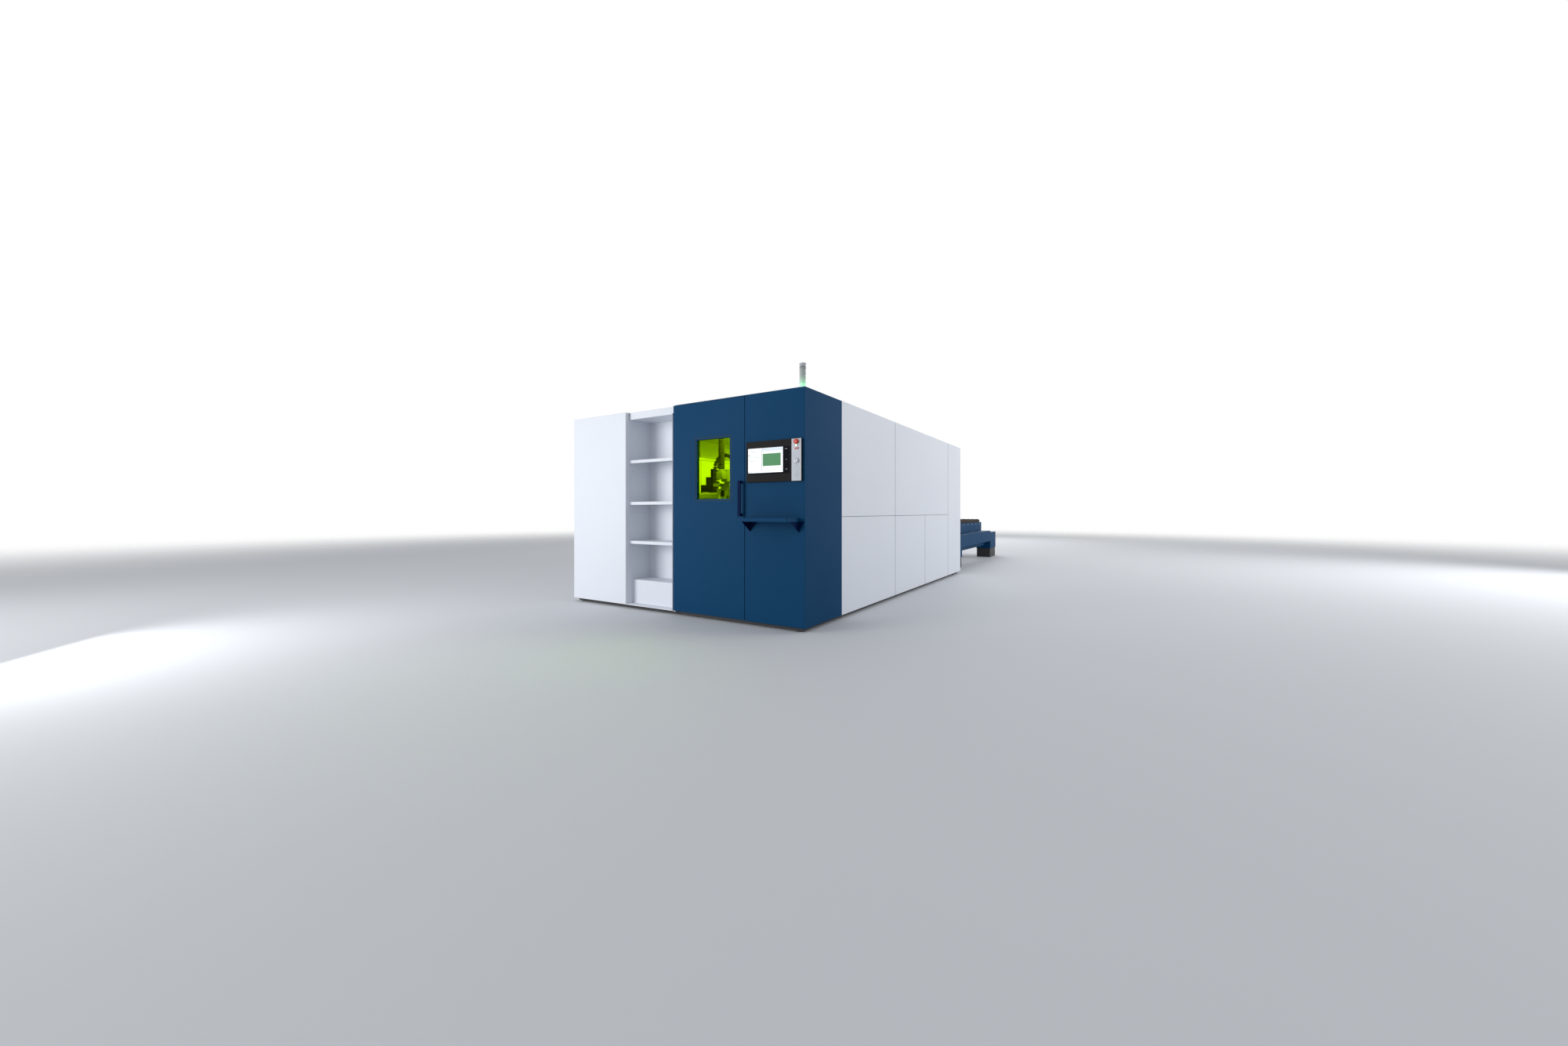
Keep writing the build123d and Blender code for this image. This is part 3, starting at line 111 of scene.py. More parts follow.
def noise(tree: bpy.types.NodeTree, scale: float, detail: float,
          stretch: Point = (1.0, 1.0, 1.0)) -> bpy.types.Node:
    """Adds a noise texture on object coordinates.

    Args:
        tree: Node tree that gets the nodes.
        scale: Noise scale, per metre.
        detail: Noise detail.
        stretch: Scale along X, Y and Z.

    Returns:
        The noise node.
    """
    place = tree.nodes.new("ShaderNodeTexCoord")
    mapping = tree.nodes.new("ShaderNodeMapping")
    mapping.inputs["Scale"].default_value = stretch
    texture = tree.nodes.new("ShaderNodeTexNoise")
    texture.inputs["Scale"].default_value = scale
    texture.inputs["Detail"].default_value = detail
    tree.links.new(place.outputs["Object"], mapping.inputs["Vector"])
    tree.links.new(mapping.outputs["Vector"], texture.inputs["Vector"])
    return texture


def spread(tree: bpy.types.NodeTree, source: bpy.types.NodeSocket, low: float, high: float,
           start: float = 0.0, end: float = 1.0) -> bpy.types.NodeSocket:
    """Maps a value to a range.

    Args:
        tree: Node tree that gets the node.
        source: Value to map.
        low: Result at the start.
        high: Result at the end.
        start: Value where the range starts.
        end: Value where the range ends.

    Returns:
        The mapped value.
    """
    node = tree.nodes.new("ShaderNodeMapRange")
    node.inputs["From Min"].default_value = start
    node.inputs["From Max"].default_value = end
    node.inputs["To Min"].default_value = low
    node.inputs["To Max"].default_value = high
    tree.links.new(source, node.inputs["Value"])
    return node.outputs["Result"]


def combined(tree: bpy.types.NodeTree, operation: str, first: bpy.types.NodeSocket,
             second: bpy.types.NodeSocket) -> bpy.types.NodeSocket:
    """Combines two values.

    Args:
        tree: Node tree that gets the node.
        operation: Operation of the math node.
        first: First value.
        second: Second value.

    Returns:
        The result.
    """
    node = tree.nodes.new("ShaderNodeMath")
    node.operation = operation
    tree.links.new(first, node.inputs[0])
    tree.links.new(second, node.inputs[1])
    return node.outputs["Value"]


def colour_mix(tree: bpy.types.NodeTree, first: Colour, second: Colour,
               factor: bpy.types.NodeSocket) -> bpy.types.NodeSocket:
    """Mixes two colours.

    Args:
        tree: Node tree that gets the node.
        first: Colour at factor 0.
        second: Colour at factor 1.
        factor: Mixing factor.

    Returns:
        The mixed colour.
    """
    mix = tree.nodes.new("ShaderNodeMix")
    mix.data_type = "RGBA"
    mix.inputs[MIX_FIRST].default_value = (*first, 1.0)
    mix.inputs[MIX_SECOND].default_value = (*second, 1.0)
    tree.links.new(factor, mix.inputs[MIX_FACTOR])
    return mix.outputs[MIX_RESULT]


def new_material(name: str) -> tuple[bpy.types.Material, bpy.types.NodeTree, bpy.types.Node]:
    """Makes a node material.

    Args:
        name: Name of the material.

    Returns:
        The material, its node tree and its shader node.
    """
    made = bpy.data.materials.new(name)
    made.use_nodes = True
    return made, made.node_tree, made.node_tree.nodes["Principled BSDF"]


def surface_group(name: str, fine: float, broad: float, stretch: Point) -> bpy.types.NodeTree:
    """A group for the small unevenness of a surface.

    It puts out a mask of slow tone variation, a roughness offset and a fine height.

    Args:
        name: Name of the group.
        fine: Scale of the fine grain, per metre.
        broad: Scale of the slow variation, per metre.
        stretch: Stretch of the grain along X, Y and Z.

    Returns:
        The finished group.
    """
    outputs = {"Tone": "NodeSocketFloat", "Roughness": "NodeSocketFloat",
               "Height": "NodeSocketFloat"}
    group = new_group(name, {"Tone Amount": 0.1, "Base Roughness": 0.4, "Grain": 1.0}, outputs)
    source = group.nodes["Group Input"]
    sink = group.nodes["Group Output"]
    slow = noise(group, broad, 3.0)
    grain = noise(group, fine, 4.0, stretch)
    tone = combined(group, "MULTIPLY", slow.outputs["Fac"], source.outputs["Tone Amount"])
    rough = group.nodes.new("ShaderNodeMath")
    rough.operation = "MULTIPLY_ADD"
    group.links.new(slow.outputs["Fac"], rough.inputs[0])
    rough.inputs[1].default_value = ROUGHNESS_SPREAD
    group.links.new(source.outputs["Base Roughness"], rough.inputs[2])
    height = combined(group, "MULTIPLY", grain.outputs["Fac"], source.outputs["Grain"])
    group.links.new(tone, sink.inputs["Tone"])
    group.links.new(rough.outputs["Value"], sink.inputs["Roughness"])
    group.links.new(height, sink.inputs["Height"])
    return group


@cache
def shared_surface(name: str) -> bpy.types.NodeTree:
    """Gives a shared surface group, and builds it the first time.

    Args:
        name: Name of the recipe.

    Returns:
        The group.
    """
    return surface_group(name, *SURFACE_RECIPES[name])


# Finishes

@dataclass(frozen=True)
class Finish:
    """A surface finish: its colours, gloss and grain."""

    name: str
    colour: Colour
    shade: Colour
    roughness: float = 0.4
    metallic: float = 0.0
    surface: str = "powder_coat"
    tone: float = 0.6
    grain: float = 0.4
    grain_depth: float = 0.0002
    coat: float = 0.0
    glow: float = 0.0
    specular: float = 0.5
    bump: float = 0.5
    coat_roughness: float = 0.15

    @cache
    def material(self) -> bpy.types.Material:
        """Builds the node material the first time."""
        made, tree, shader = new_material(f"{self.name}_finish")
        group = tree.nodes.new("ShaderNodeGroup")
        group.node_tree = shared_surface(self.surface)
        group.inputs["Tone Amount"].default_value = self.tone
        group.inputs["Base Roughness"].default_value = self.roughness - ROUGHNESS_SPREAD / 2.0
        group.inputs["Grain"].default_value = self.grain
        colour = colour_mix(tree, self.colour, self.shade, group.outputs["Tone"])
        tree.links.new(colour, shader.inputs["Base Color"])
        tree.links.new(group.outputs["Roughness"], shader.inputs["Roughness"])
        bump = tree.nodes.new("ShaderNodeBump")
        bump.inputs["Strength"].default_value = self.bump
        bump.inputs["Distance"].default_value = self.grain_depth
        tree.links.new(group.outputs["Height"], bump.inputs["Height"])
        tree.links.new(bump.outputs["Normal"], shader.inputs["Normal"])
        shader.inputs["Metallic"].default_value = self.metallic
        shader.inputs["Coat Weight"].default_value = self.coat
        shader.inputs["Specular IOR Level"].default_value = self.specular
        shader.inputs["Coat Roughness"].default_value = self.coat_roughness
        if self.glow:
            tree.links.new(colour, shader.inputs["Emission Color"])
            shader.inputs["Emission Strength"].default_value = self.glow
        return made


@dataclass(frozen=True)
class SafetyPane:
    """Tinted glass that can be looked through."""

    name: str
    colour: Colour
    roughness: float = 0.02
    haze_shade: float = 0.92
    haze_scale: float = 3.0
    ior: float = 1.02
    specular: float = 0.1

    @cache
    def material(self) -> bpy.types.Material:
        """Builds the glass material the first time."""
        made, tree, shader = new_material(f"{self.name}_finish")
        shader.inputs["Transmission Weight"].default_value = 1.0
        shader.inputs["IOR"].default_value = self.ior
        shader.inputs["Specular IOR Level"].default_value = self.specular
        haze = noise(tree, self.haze_scale, 2.0)
        darker = tuple(self.haze_shade * c for c in self.colour)
        tree.links.new(colour_mix(tree, self.colour, darker, haze.outputs["Fac"]),
                       shader.inputs["Base Color"])
        tree.links.new(spread(tree, haze.outputs["Fac"], self.roughness, self.roughness * 2.0),
                       shader.inputs["Roughness"])
        return made


@dataclass(frozen=True)
class LampColumn:
    """Milky plastic with a lit band that fades up the column."""

    name: str
    low_z: float
    high_z: float
    body_stops: tuple[tuple[float, Colour], ...] = (
        (0.0, (0.42, 0.55, 0.45)), (0.35, (0.36, 0.42, 0.38)), (0.8, (0.30, 0.33, 0.32)),
        (0.88, (0.12, 0.13, 0.13)), (0.95, (0.40, 0.42, 0.42)))
    glow_stops: tuple[tuple[float, Colour], ...] = (
        (0.0, (0.08, 0.42, 0.18)), (0.18, (0.22, 0.95, 0.45)), (0.42, (0.05, 0.20, 0.09)),
        (0.6, (0.0, 0.0, 0.0)))
    glow: float = 0.9
    coat: float = 0.5
    rib_scale: float = 300.0
    smoothest: float = 0.15
    roughest: float = 0.3

    @cache
    def material(self) -> bpy.types.Material:
        """Builds the lamp material the first time."""
        made, tree, shader = new_material(f"{self.name}_finish")
        place = tree.nodes.new("ShaderNodeTexCoord")
        split = tree.nodes.new("ShaderNodeSeparateXYZ")
        tree.links.new(place.outputs["Object"], split.inputs["Vector"])
        height = spread(tree, split.outputs["Z"], 0.0, 1.0, self.low_z, self.high_z)
        for stops, socket in ((self.body_stops, "Base Color"),
                              (self.glow_stops, "Emission Color")):
            ramp = tree.nodes.new("ShaderNodeValToRGB")
            self._stops(ramp, stops)
            tree.links.new(height, ramp.inputs["Fac"])
            tree.links.new(ramp.outputs["Color"], shader.inputs[socket])
        shader.inputs["Emission Strength"].default_value = self.glow
        ribs = noise(tree, self.rib_scale, 1.0)
        tree.links.new(spread(tree, ribs.outputs["Fac"], self.smoothest, self.roughest),
                       shader.inputs["Roughness"])
        shader.inputs["Coat Weight"].default_value = self.coat
        return made

    @staticmethod
    def _stops(ramp: bpy.types.Node, stops: tuple[tuple[float, Colour], ...]) -> None:
        """Sets the colour stops of a ramp.

        Args:
            ramp: Colour ramp node.
            stops: Places and colours, in rising order.
        """
        elements = ramp.color_ramp.elements
        elements[0].position = stops[0][0]
        elements[0].color = (*stops[0][1], 1.0)
        elements[1].position = stops[-1][0]
        elements[1].color = (*stops[-1][1], 1.0)
        for place, colour in stops[1:-1]:
            element = elements.new(place)
            element.color = (*colour, 1.0)


BLUE = Finish("blue_coat", (0.003, 0.050, 0.128), (0.002, 0.042, 0.112), 0.55, specular=0.06)
NAVY = Finish("navy_coat", (0.001, 0.010, 0.052), (0.001, 0.008, 0.044), 0.5, specular=0.03)
WHITE = Finish("white_coat", (0.70, 0.73, 0.79), (0.65, 0.68, 0.745), 0.5, tone=0.5)
BASE = Finish("base_black", (0.018, 0.018, 0.020), (0.03, 0.03, 0.033), 0.6)
GREY = Finish("frame_grey", (0.30, 0.32, 0.34), (0.24, 0.26, 0.28), 0.45)
INNER = Finish("inner_white", (0.70, 0.72, 0.72), (0.62, 0.64, 0.65), 0.5)
STEEL = Finish("ground_steel", (0.52, 0.53, 0.55), (0.42, 0.43, 0.45), 0.28, 1.0,
               "ground_metal", 0.8, 0.6, 0.0002)
ALLOY = Finish("machined_alloy", (0.70, 0.71, 0.73), (0.60, 0.61, 0.63), 0.35, 1.0,
               "ground_metal", 0.6, 0.5, 0.0002)
SLAT = Finish("slat_plate", (0.10, 0.085, 0.075), (0.20, 0.18, 0.165), 0.6, 0.7,
              "ground_metal", 1.0, 0.8, 0.0004)
BRASS = Finish("nozzle_brass", (0.70, 0.40, 0.17), (0.58, 0.32, 0.13), 0.25, 1.0,
               "ground_metal", 0.5, 0.4, 0.0001)
CHARCOAL = Finish("charcoal_plastic", (0.014, 0.013, 0.013), (0.016, 0.014, 0.014), 0.6,
                  surface="moulded_grain", specular=0.08)
LIGHT_GREY = Finish("light_grey_plastic", (0.45, 0.48, 0.53), (0.38, 0.41, 0.46), 0.4,
                    surface="moulded_grain")
KEY_GREY = Finish("key_grey", (0.62, 0.64, 0.68), (0.55, 0.57, 0.62), 0.45,
                  surface="moulded_grain")
RED = Finish("stop_red", (0.62, 0.012, 0.010), (0.48, 0.008, 0.008), 0.28,
             surface="moulded_grain", coat=0.1, specular=0.2)
PINK = Finish("pink_button", (0.72, 0.22, 0.26), (0.62, 0.16, 0.2), 0.3,
              surface="moulded_grain", coat=0.1)
LIT_GREEN = Finish("lit_button", (0.62, 0.88, 0.66), (0.52, 0.8, 0.58), 0.3,
                   surface="moulded_grain", coat=0.4, glow=0.35)
RUBBER = Finish("black_rubber", (0.012, 0.012, 0.013), (0.02, 0.02, 0.021), 0.7,
                surface="moulded_grain")
CHAIN = Finish("chain_nylon", (0.014, 0.015, 0.015), (0.028, 0.028, 0.028), 0.5,
               surface="moulded_grain")
BLACK_GLASS = Finish("screen_glass", (0.006, 0.007, 0.009), (0.008, 0.009, 0.011), 0.5,
                     surface="moulded_grain", grain=0.0, specular=0.02)
LED = Finish("cabin_led", (0.95, 0.97, 1.0), (0.9, 0.93, 0.97), 0.4, glow=7.0)
BRIDGE_GREY = Finish("bridge_coat", (0.34, 0.36, 0.37), (0.29, 0.31, 0.32), 0.5, specular=0.3)
# Painted shade: dark strips laid in the panel joints to darken the shadow of the seam grooves
SEAM_PAINTED_SHADE = Finish("seam_painted_shade", (0.03, 0.032, 0.036), (0.05, 0.052, 0.056), 0.7, specular=0.2,
              surface="moulded_grain")
LASER_PANE = SafetyPane("laser_pane", (0.40, 0.71, 0.0))


# Mesh building

def mesh_object(name: str, mesh: bmesh.types.BMesh, smooth: bool = False) -> bpy.types.Object:
    """Turns a bmesh into an object in the scene.

    Args:
        name: Name of the object.
        mesh: Geometry, which is freed here.
        smooth: Whether faces are shaded smooth up to SMOOTH_ANGLE.

    Returns:
        The new object.
    """
    bmesh.ops.recalc_face_normals(mesh, faces=mesh.faces)
    data = bpy.data.meshes.new(name)
    mesh.to_mesh(data)
    mesh.free()
    made = bpy.data.objects.new(name, data)
    bpy.context.collection.objects.link(made)
    if smooth:
        data.shade_smooth()
        bpy.context.view_layer.objects.active = made
        data.set_sharp_from_angle(angle=math.radians(SMOOTH_ANGLE))
    return made


def turned(axis: Axis) -> Matrix:
    """The rotation that lays a piece made along Z along an axis."""
    if axis is Axis.X:
        return Matrix.Rotation(math.pi / 2.0, 4, "Y")
    if axis is Axis.Y:
        return Matrix.Rotation(math.pi / 2.0, 4, "X")
    return Matrix.Identity(4)


def add_block(mesh: bmesh.types.BMesh, low: Point, high: Point, bevel: float = 0.0) -> None:
    """Adds a block with softened edges.

    Args:
        mesh: Mesh that gets it.
        low: Lowest corner.
        high: Highest corner.
        bevel: Width of the edge rounding, or 0.
    """
    size = Vector(high) - Vector(low)
    place = Matrix.Translation((Vector(low) + Vector(high)) / 2.0) @ Matrix.Diagonal((*size, 1.0))
    part = bmesh.new()
    bmesh.ops.create_cube(part, size=1.0, matrix=place)
    if bevel:
        bmesh.ops.bevel(part, geom=part.edges[:], offset=bevel, segments=2, profile=0.6,
                        affect="EDGES")
    merge(mesh, part)


def merge(mesh: bmesh.types.BMesh, part: bmesh.types.BMesh) -> None:
    """Copies one bmesh into another and frees it.

    Args:
        mesh: Mesh that gets the copy.
        part: Mesh that is copied and freed.
    """
    data = bpy.data.meshes.new("merged")
    part.to_mesh(data)
    part.free()
    mesh.from_mesh(data)
    bpy.data.meshes.remove(data)


def circle(radius: float, sides: int) -> list[tuple[float, float]]:
    """Gives evenly spaced points round a circle.

    Args:
        radius: Radius.
        sides: Number of points.

    Returns:
        The two coordinates of each point.
    """
    angles = [2.0 * math.pi * step / sides for step in range(sides)]
    return [(radius * math.cos(angle), radius * math.sin(angle)) for angle in angles]


def skin(mesh: bmesh.types.BMesh, rings: list[list[bmesh.types.BMVert]]) -> None:
    """Joins rings of vertices into a tube and caps both ends.

    Args:
        mesh: Mesh that holds the vertices.
        rings: Rings of equal length, from end to end.
    """
    for low, high in zip(rings, rings[1:]):
        for step in range(len(low)):
            after = (step + 1) % len(low)
            mesh.faces.new((low[step], low[after], high[after], high[step]))
    mesh.faces.new(rings[0])
    mesh.faces.new(rings[-1])


def add_turning(mesh: bmesh.types.BMesh, profile: Profile, place: Point, axis: Axis,
                sides: int = 24, flip: bool = False) -> None:
    """Adds a solid of revolution.

    Args:
        mesh: Mesh that gets it.
        profile: Radius and height pairs, from the first cap to the last.
        place: Where the profile's height 0 lies.
        axis: Axis that the height runs along.
        sides: Number of steps round.
        flip: Whether the height runs to the negative side.
    """
    part = bmesh.new()
    rings = []
    for radius, height in profile:
        z = -height if flip else height
        rings.append([part.verts.new((x, y, z)) for x, y in circle(radius, sides)])
    skin(part, rings)
    bmesh.ops.transform(part, matrix=Matrix.Translation(place) @ turned(axis), verts=part.verts)
    merge(mesh, part)


def add_prism(mesh: bmesh.types.BMesh, outline: list[tuple[float, float]], y0: float,
              y1: float) -> None:
    """Adds a flat piece with an outline in X and Z.

    Args:
        mesh: Mesh that gets it.
        outline: X and Z of its corners, in order.
        y0: Front face.
        y1: Rear face.
    """
    skin(mesh, [[mesh.verts.new((x, y, z)) for x, z in outline] for y in (y0, y1)])


def add_ring(mesh: bmesh.types.BMesh, place: Point, axis: Axis, inner: float, outer: float,
             height: float, sides: int = 40) -> None:
    """Adds a flat ring.

    Args:
        mesh: Mesh that gets it.
        place: Centre of its first face.
        axis: Axis that its height runs along.
        inner: Inner radius.
        outer: Outer radius.
        height: Height.
        sides: Number of steps round.
    """
    part = bmesh.new()
    section = ((inner, 0.0), (outer, 0.0), (outer, height), (inner, height))
    rings = []
    for step in range(sides):
        angle = 2.0 * math.pi * step / sides
        rings.append([part.verts.new((r * math.cos(angle), r * math.sin(angle), h))
                      for r, h in section])
    for step in range(sides):
        near, far = rings[step], rings[(step + 1) % sides]
        for corner in range(4):
            after = (corner + 1) % 4
            part.faces.new((near[corner], near[after], far[after], far[corner]))
    bmesh.ops.transform(part, matrix=Matrix.Translation(place) @ turned(axis), verts=part.verts)
    merge(mesh, part)


def finished(name: str, mesh: bmesh.types.BMesh, finish: Finish, body: str,
             smooth: bool = True) -> None:
    """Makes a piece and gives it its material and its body.

    Args:
        name: Name of the piece.
        mesh: Its geometry, in its place at rest.
        finish: Finish that it gets.
        body: CAD body that it rides on.
        smooth: Whether its round faces are shaded smooth.
    """
    piece = mesh_object(name, mesh, smooth)
    piece.data.materials.append(finish.material())
    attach(piece, body)
    LOG.info("%s on %s", name, body)


# Finishes of the CAD nodes

NODES_BY_FINISH: tuple[tuple[Finish | SafetyPane, str], ...] = (
    (BLUE,
     "control_column_casing door_leaf keyboard_tray changer_beam_right changer_beam_left "
     "changer_corner_boxes changer_cross_near changer_cross_far upper_pallet_frame "
     "lower_pallet_frame door_window_frame"),
    (WHITE,
     "front_left_panel right_panel_upper_front right_panel_lower_front "
     "right_panel_upper_rear right_panel_lower_middle right_panel_lower_rear "
     "right_end_panel left_panel_front left_panel_middle left_end_panel rear_wall roof "
     "niche_liner niche_shelves niche_plinth_box niche_floor_plate"),
    (NAVY, "door_handle tray_brackets"),
    (INNER, "rear_guard_door laser_source_cabinet"),
    (ALLOY, "rear_door_guides head_slide cutting_head"),
    (BASE, "base_side_beams base_cross_beams levelling_feet changer_feet"),
    (GREY, "bed_beam_left bed_beam_right"),
    (STEEL, "guide_rails door_pivots"),
    (SLAT, "upper_pallet_slats lower_pallet_slats"),
    (BRIDGE_GREY, "gantry_bridge carriage"),
    (BRASS, "cutting_nozzle"),
    (CHAIN, "energy_chain_arch"),
    (CHARCOAL, "console_housing"),
    (BLACK_GLASS, "display_glass"),
    (LIGHT_GREY, "control_strip lamp_base lamp_cap"),
    (KEY_GREY, "feed_dial"),
    (RED, "emergency_stop_button reset_button"),
    (LIT_GREEN, "start_button"),
    (PINK, "pause_button"),
    (LASER_PANE, "door_window_glass"),
)


def dress_nodes(frame: dict) -> None:
    """Gives every CAD node its finish.
    """
    low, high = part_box("lamp_column")
    finishes = {node: finish for finish, nodes in NODES_BY_FINISH for node in nodes.split()}
    finishes["lamp_column"] = LampColumn("lamp_light", low.z, high.z)
    for name, node in frame["nodes"].items():
        node.data.materials.clear()
        node.data.materials.append(finishes[name].material())
    LOG.info("%d nodes finished", len(frame["nodes"]))


# Operator panel

SCREEN_WHITE = Finish("screen_white", (0.86, 0.88, 0.89), (0.84, 0.86, 0.87), 0.3, glow=0.4,
                      specular=0.1)
SCREEN_PANE = Finish("screen_pane", (0.60, 0.65, 0.70), (0.58, 0.63, 0.68), 0.3, glow=0.4,
                     specular=0.1)
SCREEN_GREEN = Finish("screen_sheet_green", (0.06, 0.20, 0.08), (0.05, 0.19, 0.075), 0.3,
                      glow=0.4, specular=0.1)
SCREEN_MARK = Finish("screen_marks", (0.10, 0.42, 0.20), (0.09, 0.40, 0.19), 0.3, glow=0.3,
                     specular=0.1)
SCREEN_LINE = Finish("screen_lines", (0.30, 0.33, 0.37), (0.28, 0.31, 0.35), 0.3, glow=0.1,
                     specular=0.1)
YELLOW = Finish("stop_collar_yellow", (0.80, 0.46, 0.05), (0.72, 0.40, 0.04), 0.4,
                surface="moulded_grain")
SYMBOL = Finish("symbol_grey", (0.05, 0.055, 0.07), (0.04, 0.045, 0.06), 0.5,
                surface="moulded_grain")


@dataclass
class ScreenField:
    """One plain field of the picture on the screen, placed from the glass's left and bottom."""

    name: str
    left: float
    right: float
    bottom: float
    top: float
    finish: Finish
    layer: int = 1


@dataclass
class OperatorPanel:
    """The picture on the screen, the stop collar, the dial's pointer and the key symbols."""

    film: float = 0.0004
    key_rise: float = 0.0015
    collar_inner: float = 0.0088
    collar_radius: float = 0.0225
    collar_rise: float = 0.0013
    collar_height: float = 0.0002
    pointer_half: float = 0.0014
    pointer_proud: float = 0.0002
    pointer_margin: float = 0.006
    ticks: int = 13
    tick_radius: float = 0.0012
    tick_height: float = 0.0004
    tick_gap: float = 0.004
    tick_sides: int = 10
    sweep: float = 300.0
    symbol: float = 0.0022
    symbol_height: float = 0.0003
    arrows: tuple[float, ...] = (0.0, 90.0, -90.0, 180.0)
    keys: tuple[tuple[float, float], ...] = (
        (1.388, 0.0), (1.367, -0.021), (1.367, 0.021), (1.345, 0.0),
        (1.323, -0.012), (1.323, 0.012), (1.304, -0.012), (1.304, 0.012))
    fields: tuple[ScreenField, ...] = (
        ScreenField("window", 0.005, 0.366, 0.013, 0.226, SCREEN_PANE),
        ScreenField("job_list", 0.005, 0.148, 0.026, 0.226, SCREEN_WHITE, 2),
        ScreenField("sheet_border", 0.154, 0.362, 0.030, 0.196, SCREEN_WHITE, 2),
        ScreenField("sheet", 0.160, 0.344, 0.070, 0.176, SCREEN_GREEN, 3),
        ScreenField("list_mark", 0.009, 0.030, 0.163, 0.170, SCREEN_MARK, 3),
        ScreenField("list_bar", 0.010, 0.120, 0.146, 0.149, SCREEN_MARK, 3),
        ScreenField("list_line_high", 0.010, 0.105, 0.196, 0.199, SCREEN_LINE, 3),
        ScreenField("list_line_low", 0.010, 0.128, 0.116, 0.119, SCREEN_LINE, 3),
        ScreenField("divider", 0.149, 0.151, 0.028, 0.224, SCREEN_LINE, 3),
        ScreenField("status_bar", 0.040, 0.364, 0.014, 0.024, SCREEN_WHITE, 3),
        ScreenField("tool_high", 0.386, 0.410, 0.204, 0.208, SCREEN_LINE, 2),
        ScreenField("tool_middle", 0.396, 0.404, 0.114, 0.119, SCREEN_LINE, 2),
        ScreenField("tool_low", 0.392, 0.410, 0.034, 0.038, SCREEN_LINE, 2),
    )

    def build(self) -> None:
        """Builds everything on the panel."""
        glass_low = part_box("display_glass")[0]
        for item in self.fields:
            mesh = bmesh.new()
            front = glass_low.y - item.layer * self.film
            add_block(mesh, (glass_low.x + item.left, front, glass_low.z + item.bottom),
                      (glass_low.x + item.right, glass_low.y, glass_low.z + item.top))
            finished(f"screen_{item.name}", mesh, item.finish, "root",
                     smooth=False)
        self._collar()
        self._pointer()
        self._symbols()

    def _collar(self) -> None:
        """Lays the yellow ring under the emergency stop's mushroom."""
        low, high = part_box("emergency_stop_button")
        centre = ((low.x + high.x) / 2.0, self._strip_front(),
                  (low.z + high.z) / 2.0 + self.collar_rise)
        mesh = bmesh.new()
        add_ring(mesh, centre, Axis.Y, self.collar_inner, self.collar_radius, self.collar_height)
        finished("stop_button_collar", mesh, YELLOW, "root")

    def _strip_front(self) -> float:
        """The Y of the strip's own face, behind the keys."""
        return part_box("control_strip")[0].y + self.key_rise

    def _pointer(self) -> None:
        """Fills the notch of the dial with a dark pointer, and rings the dial with ticks."""
        low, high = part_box("feed_dial")
        x = (low.x + high.x) / 2.0
        z = (low.z + high.z) / 2.0
        half = self.pointer_half
        mesh = bmesh.new()
        add_block(mesh, (x - half, low.y - self.pointer_proud, z),
                  (x + half, low.y + half, high.z - self.pointer_margin))
        finished("dial_pointer", mesh, SYMBOL, "dial", smooth=False)
        mesh = bmesh.new()
        radius = (high.x - low.x) / 2.0 + self.tick_gap
        for step in range(self.ticks):
            angle = math.radians(self.sweep * (step / (self.ticks - 1) - 0.5))
            add_turning(mesh, ((self.tick_radius, 0.0), (self.tick_radius, self.tick_height)),
                        (x + radius * math.sin(angle), self._strip_front(),
                         z + radius * math.cos(angle)), Axis.Y, self.tick_sides)
        finished("dial_scale", mesh, SYMBOL, "root", smooth=False)

    def _symbols(self) -> None:
        """Puts a small dark arrow, dot or bar on each key, with no lettering."""
        low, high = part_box("feed_dial")
        middle = (low.x + high.x) / 2.0
        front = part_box("control_strip")[0].y
        mesh = bmesh.new()
        for index, (z, offset) in enumerate(self.keys):
            arrow = index < len(self.arrows)
            corners = 3 if arrow else 4
            heading = math.radians(self.arrows[index] if arrow else 45.0)
            ring = []
            for step in range(corners):
                angle = heading + 2.0 * math.pi * step / corners
                ring.append((middle + offset - self.symbol * math.sin(angle),
                             z + self.symbol * math.cos(angle)))
            add_prism(mesh, ring, front - self.symbol_height, front)
        finished("key_symbols", mesh, SYMBOL, "root", smooth=False)


# Door, panels and lamp

@dataclass
class DoorTrim:
    """The slim rubber seal round the window."""

    bead: float = 0.0022
    proud: float = 0.0010
    depth: float = 0.004
    rounding: float = 0.0004

    def build(self) -> None:
        """Builds the door's trim."""
        low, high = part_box("door_window_frame")
        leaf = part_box("door_leaf")[0].y
        bead = self.bead
        mesh = bmesh.new()
        for x0, x1, z0, z1 in ((low.x - bead, low.x + bead, low.z - bead, high.z + bead),
                               (high.x - bead, high.x + bead, low.z - bead, high.z + bead),
                               (low.x, high.x, low.z - bead, low.z + bead),
                               (low.x, high.x, high.z - bead, high.z + bead)):
            add_block(mesh, (x0, leaf - self.proud, z0), (x1, leaf + self.depth, z1),
                      self.rounding)
        finished("window_seal", mesh, RUBBER, "door")


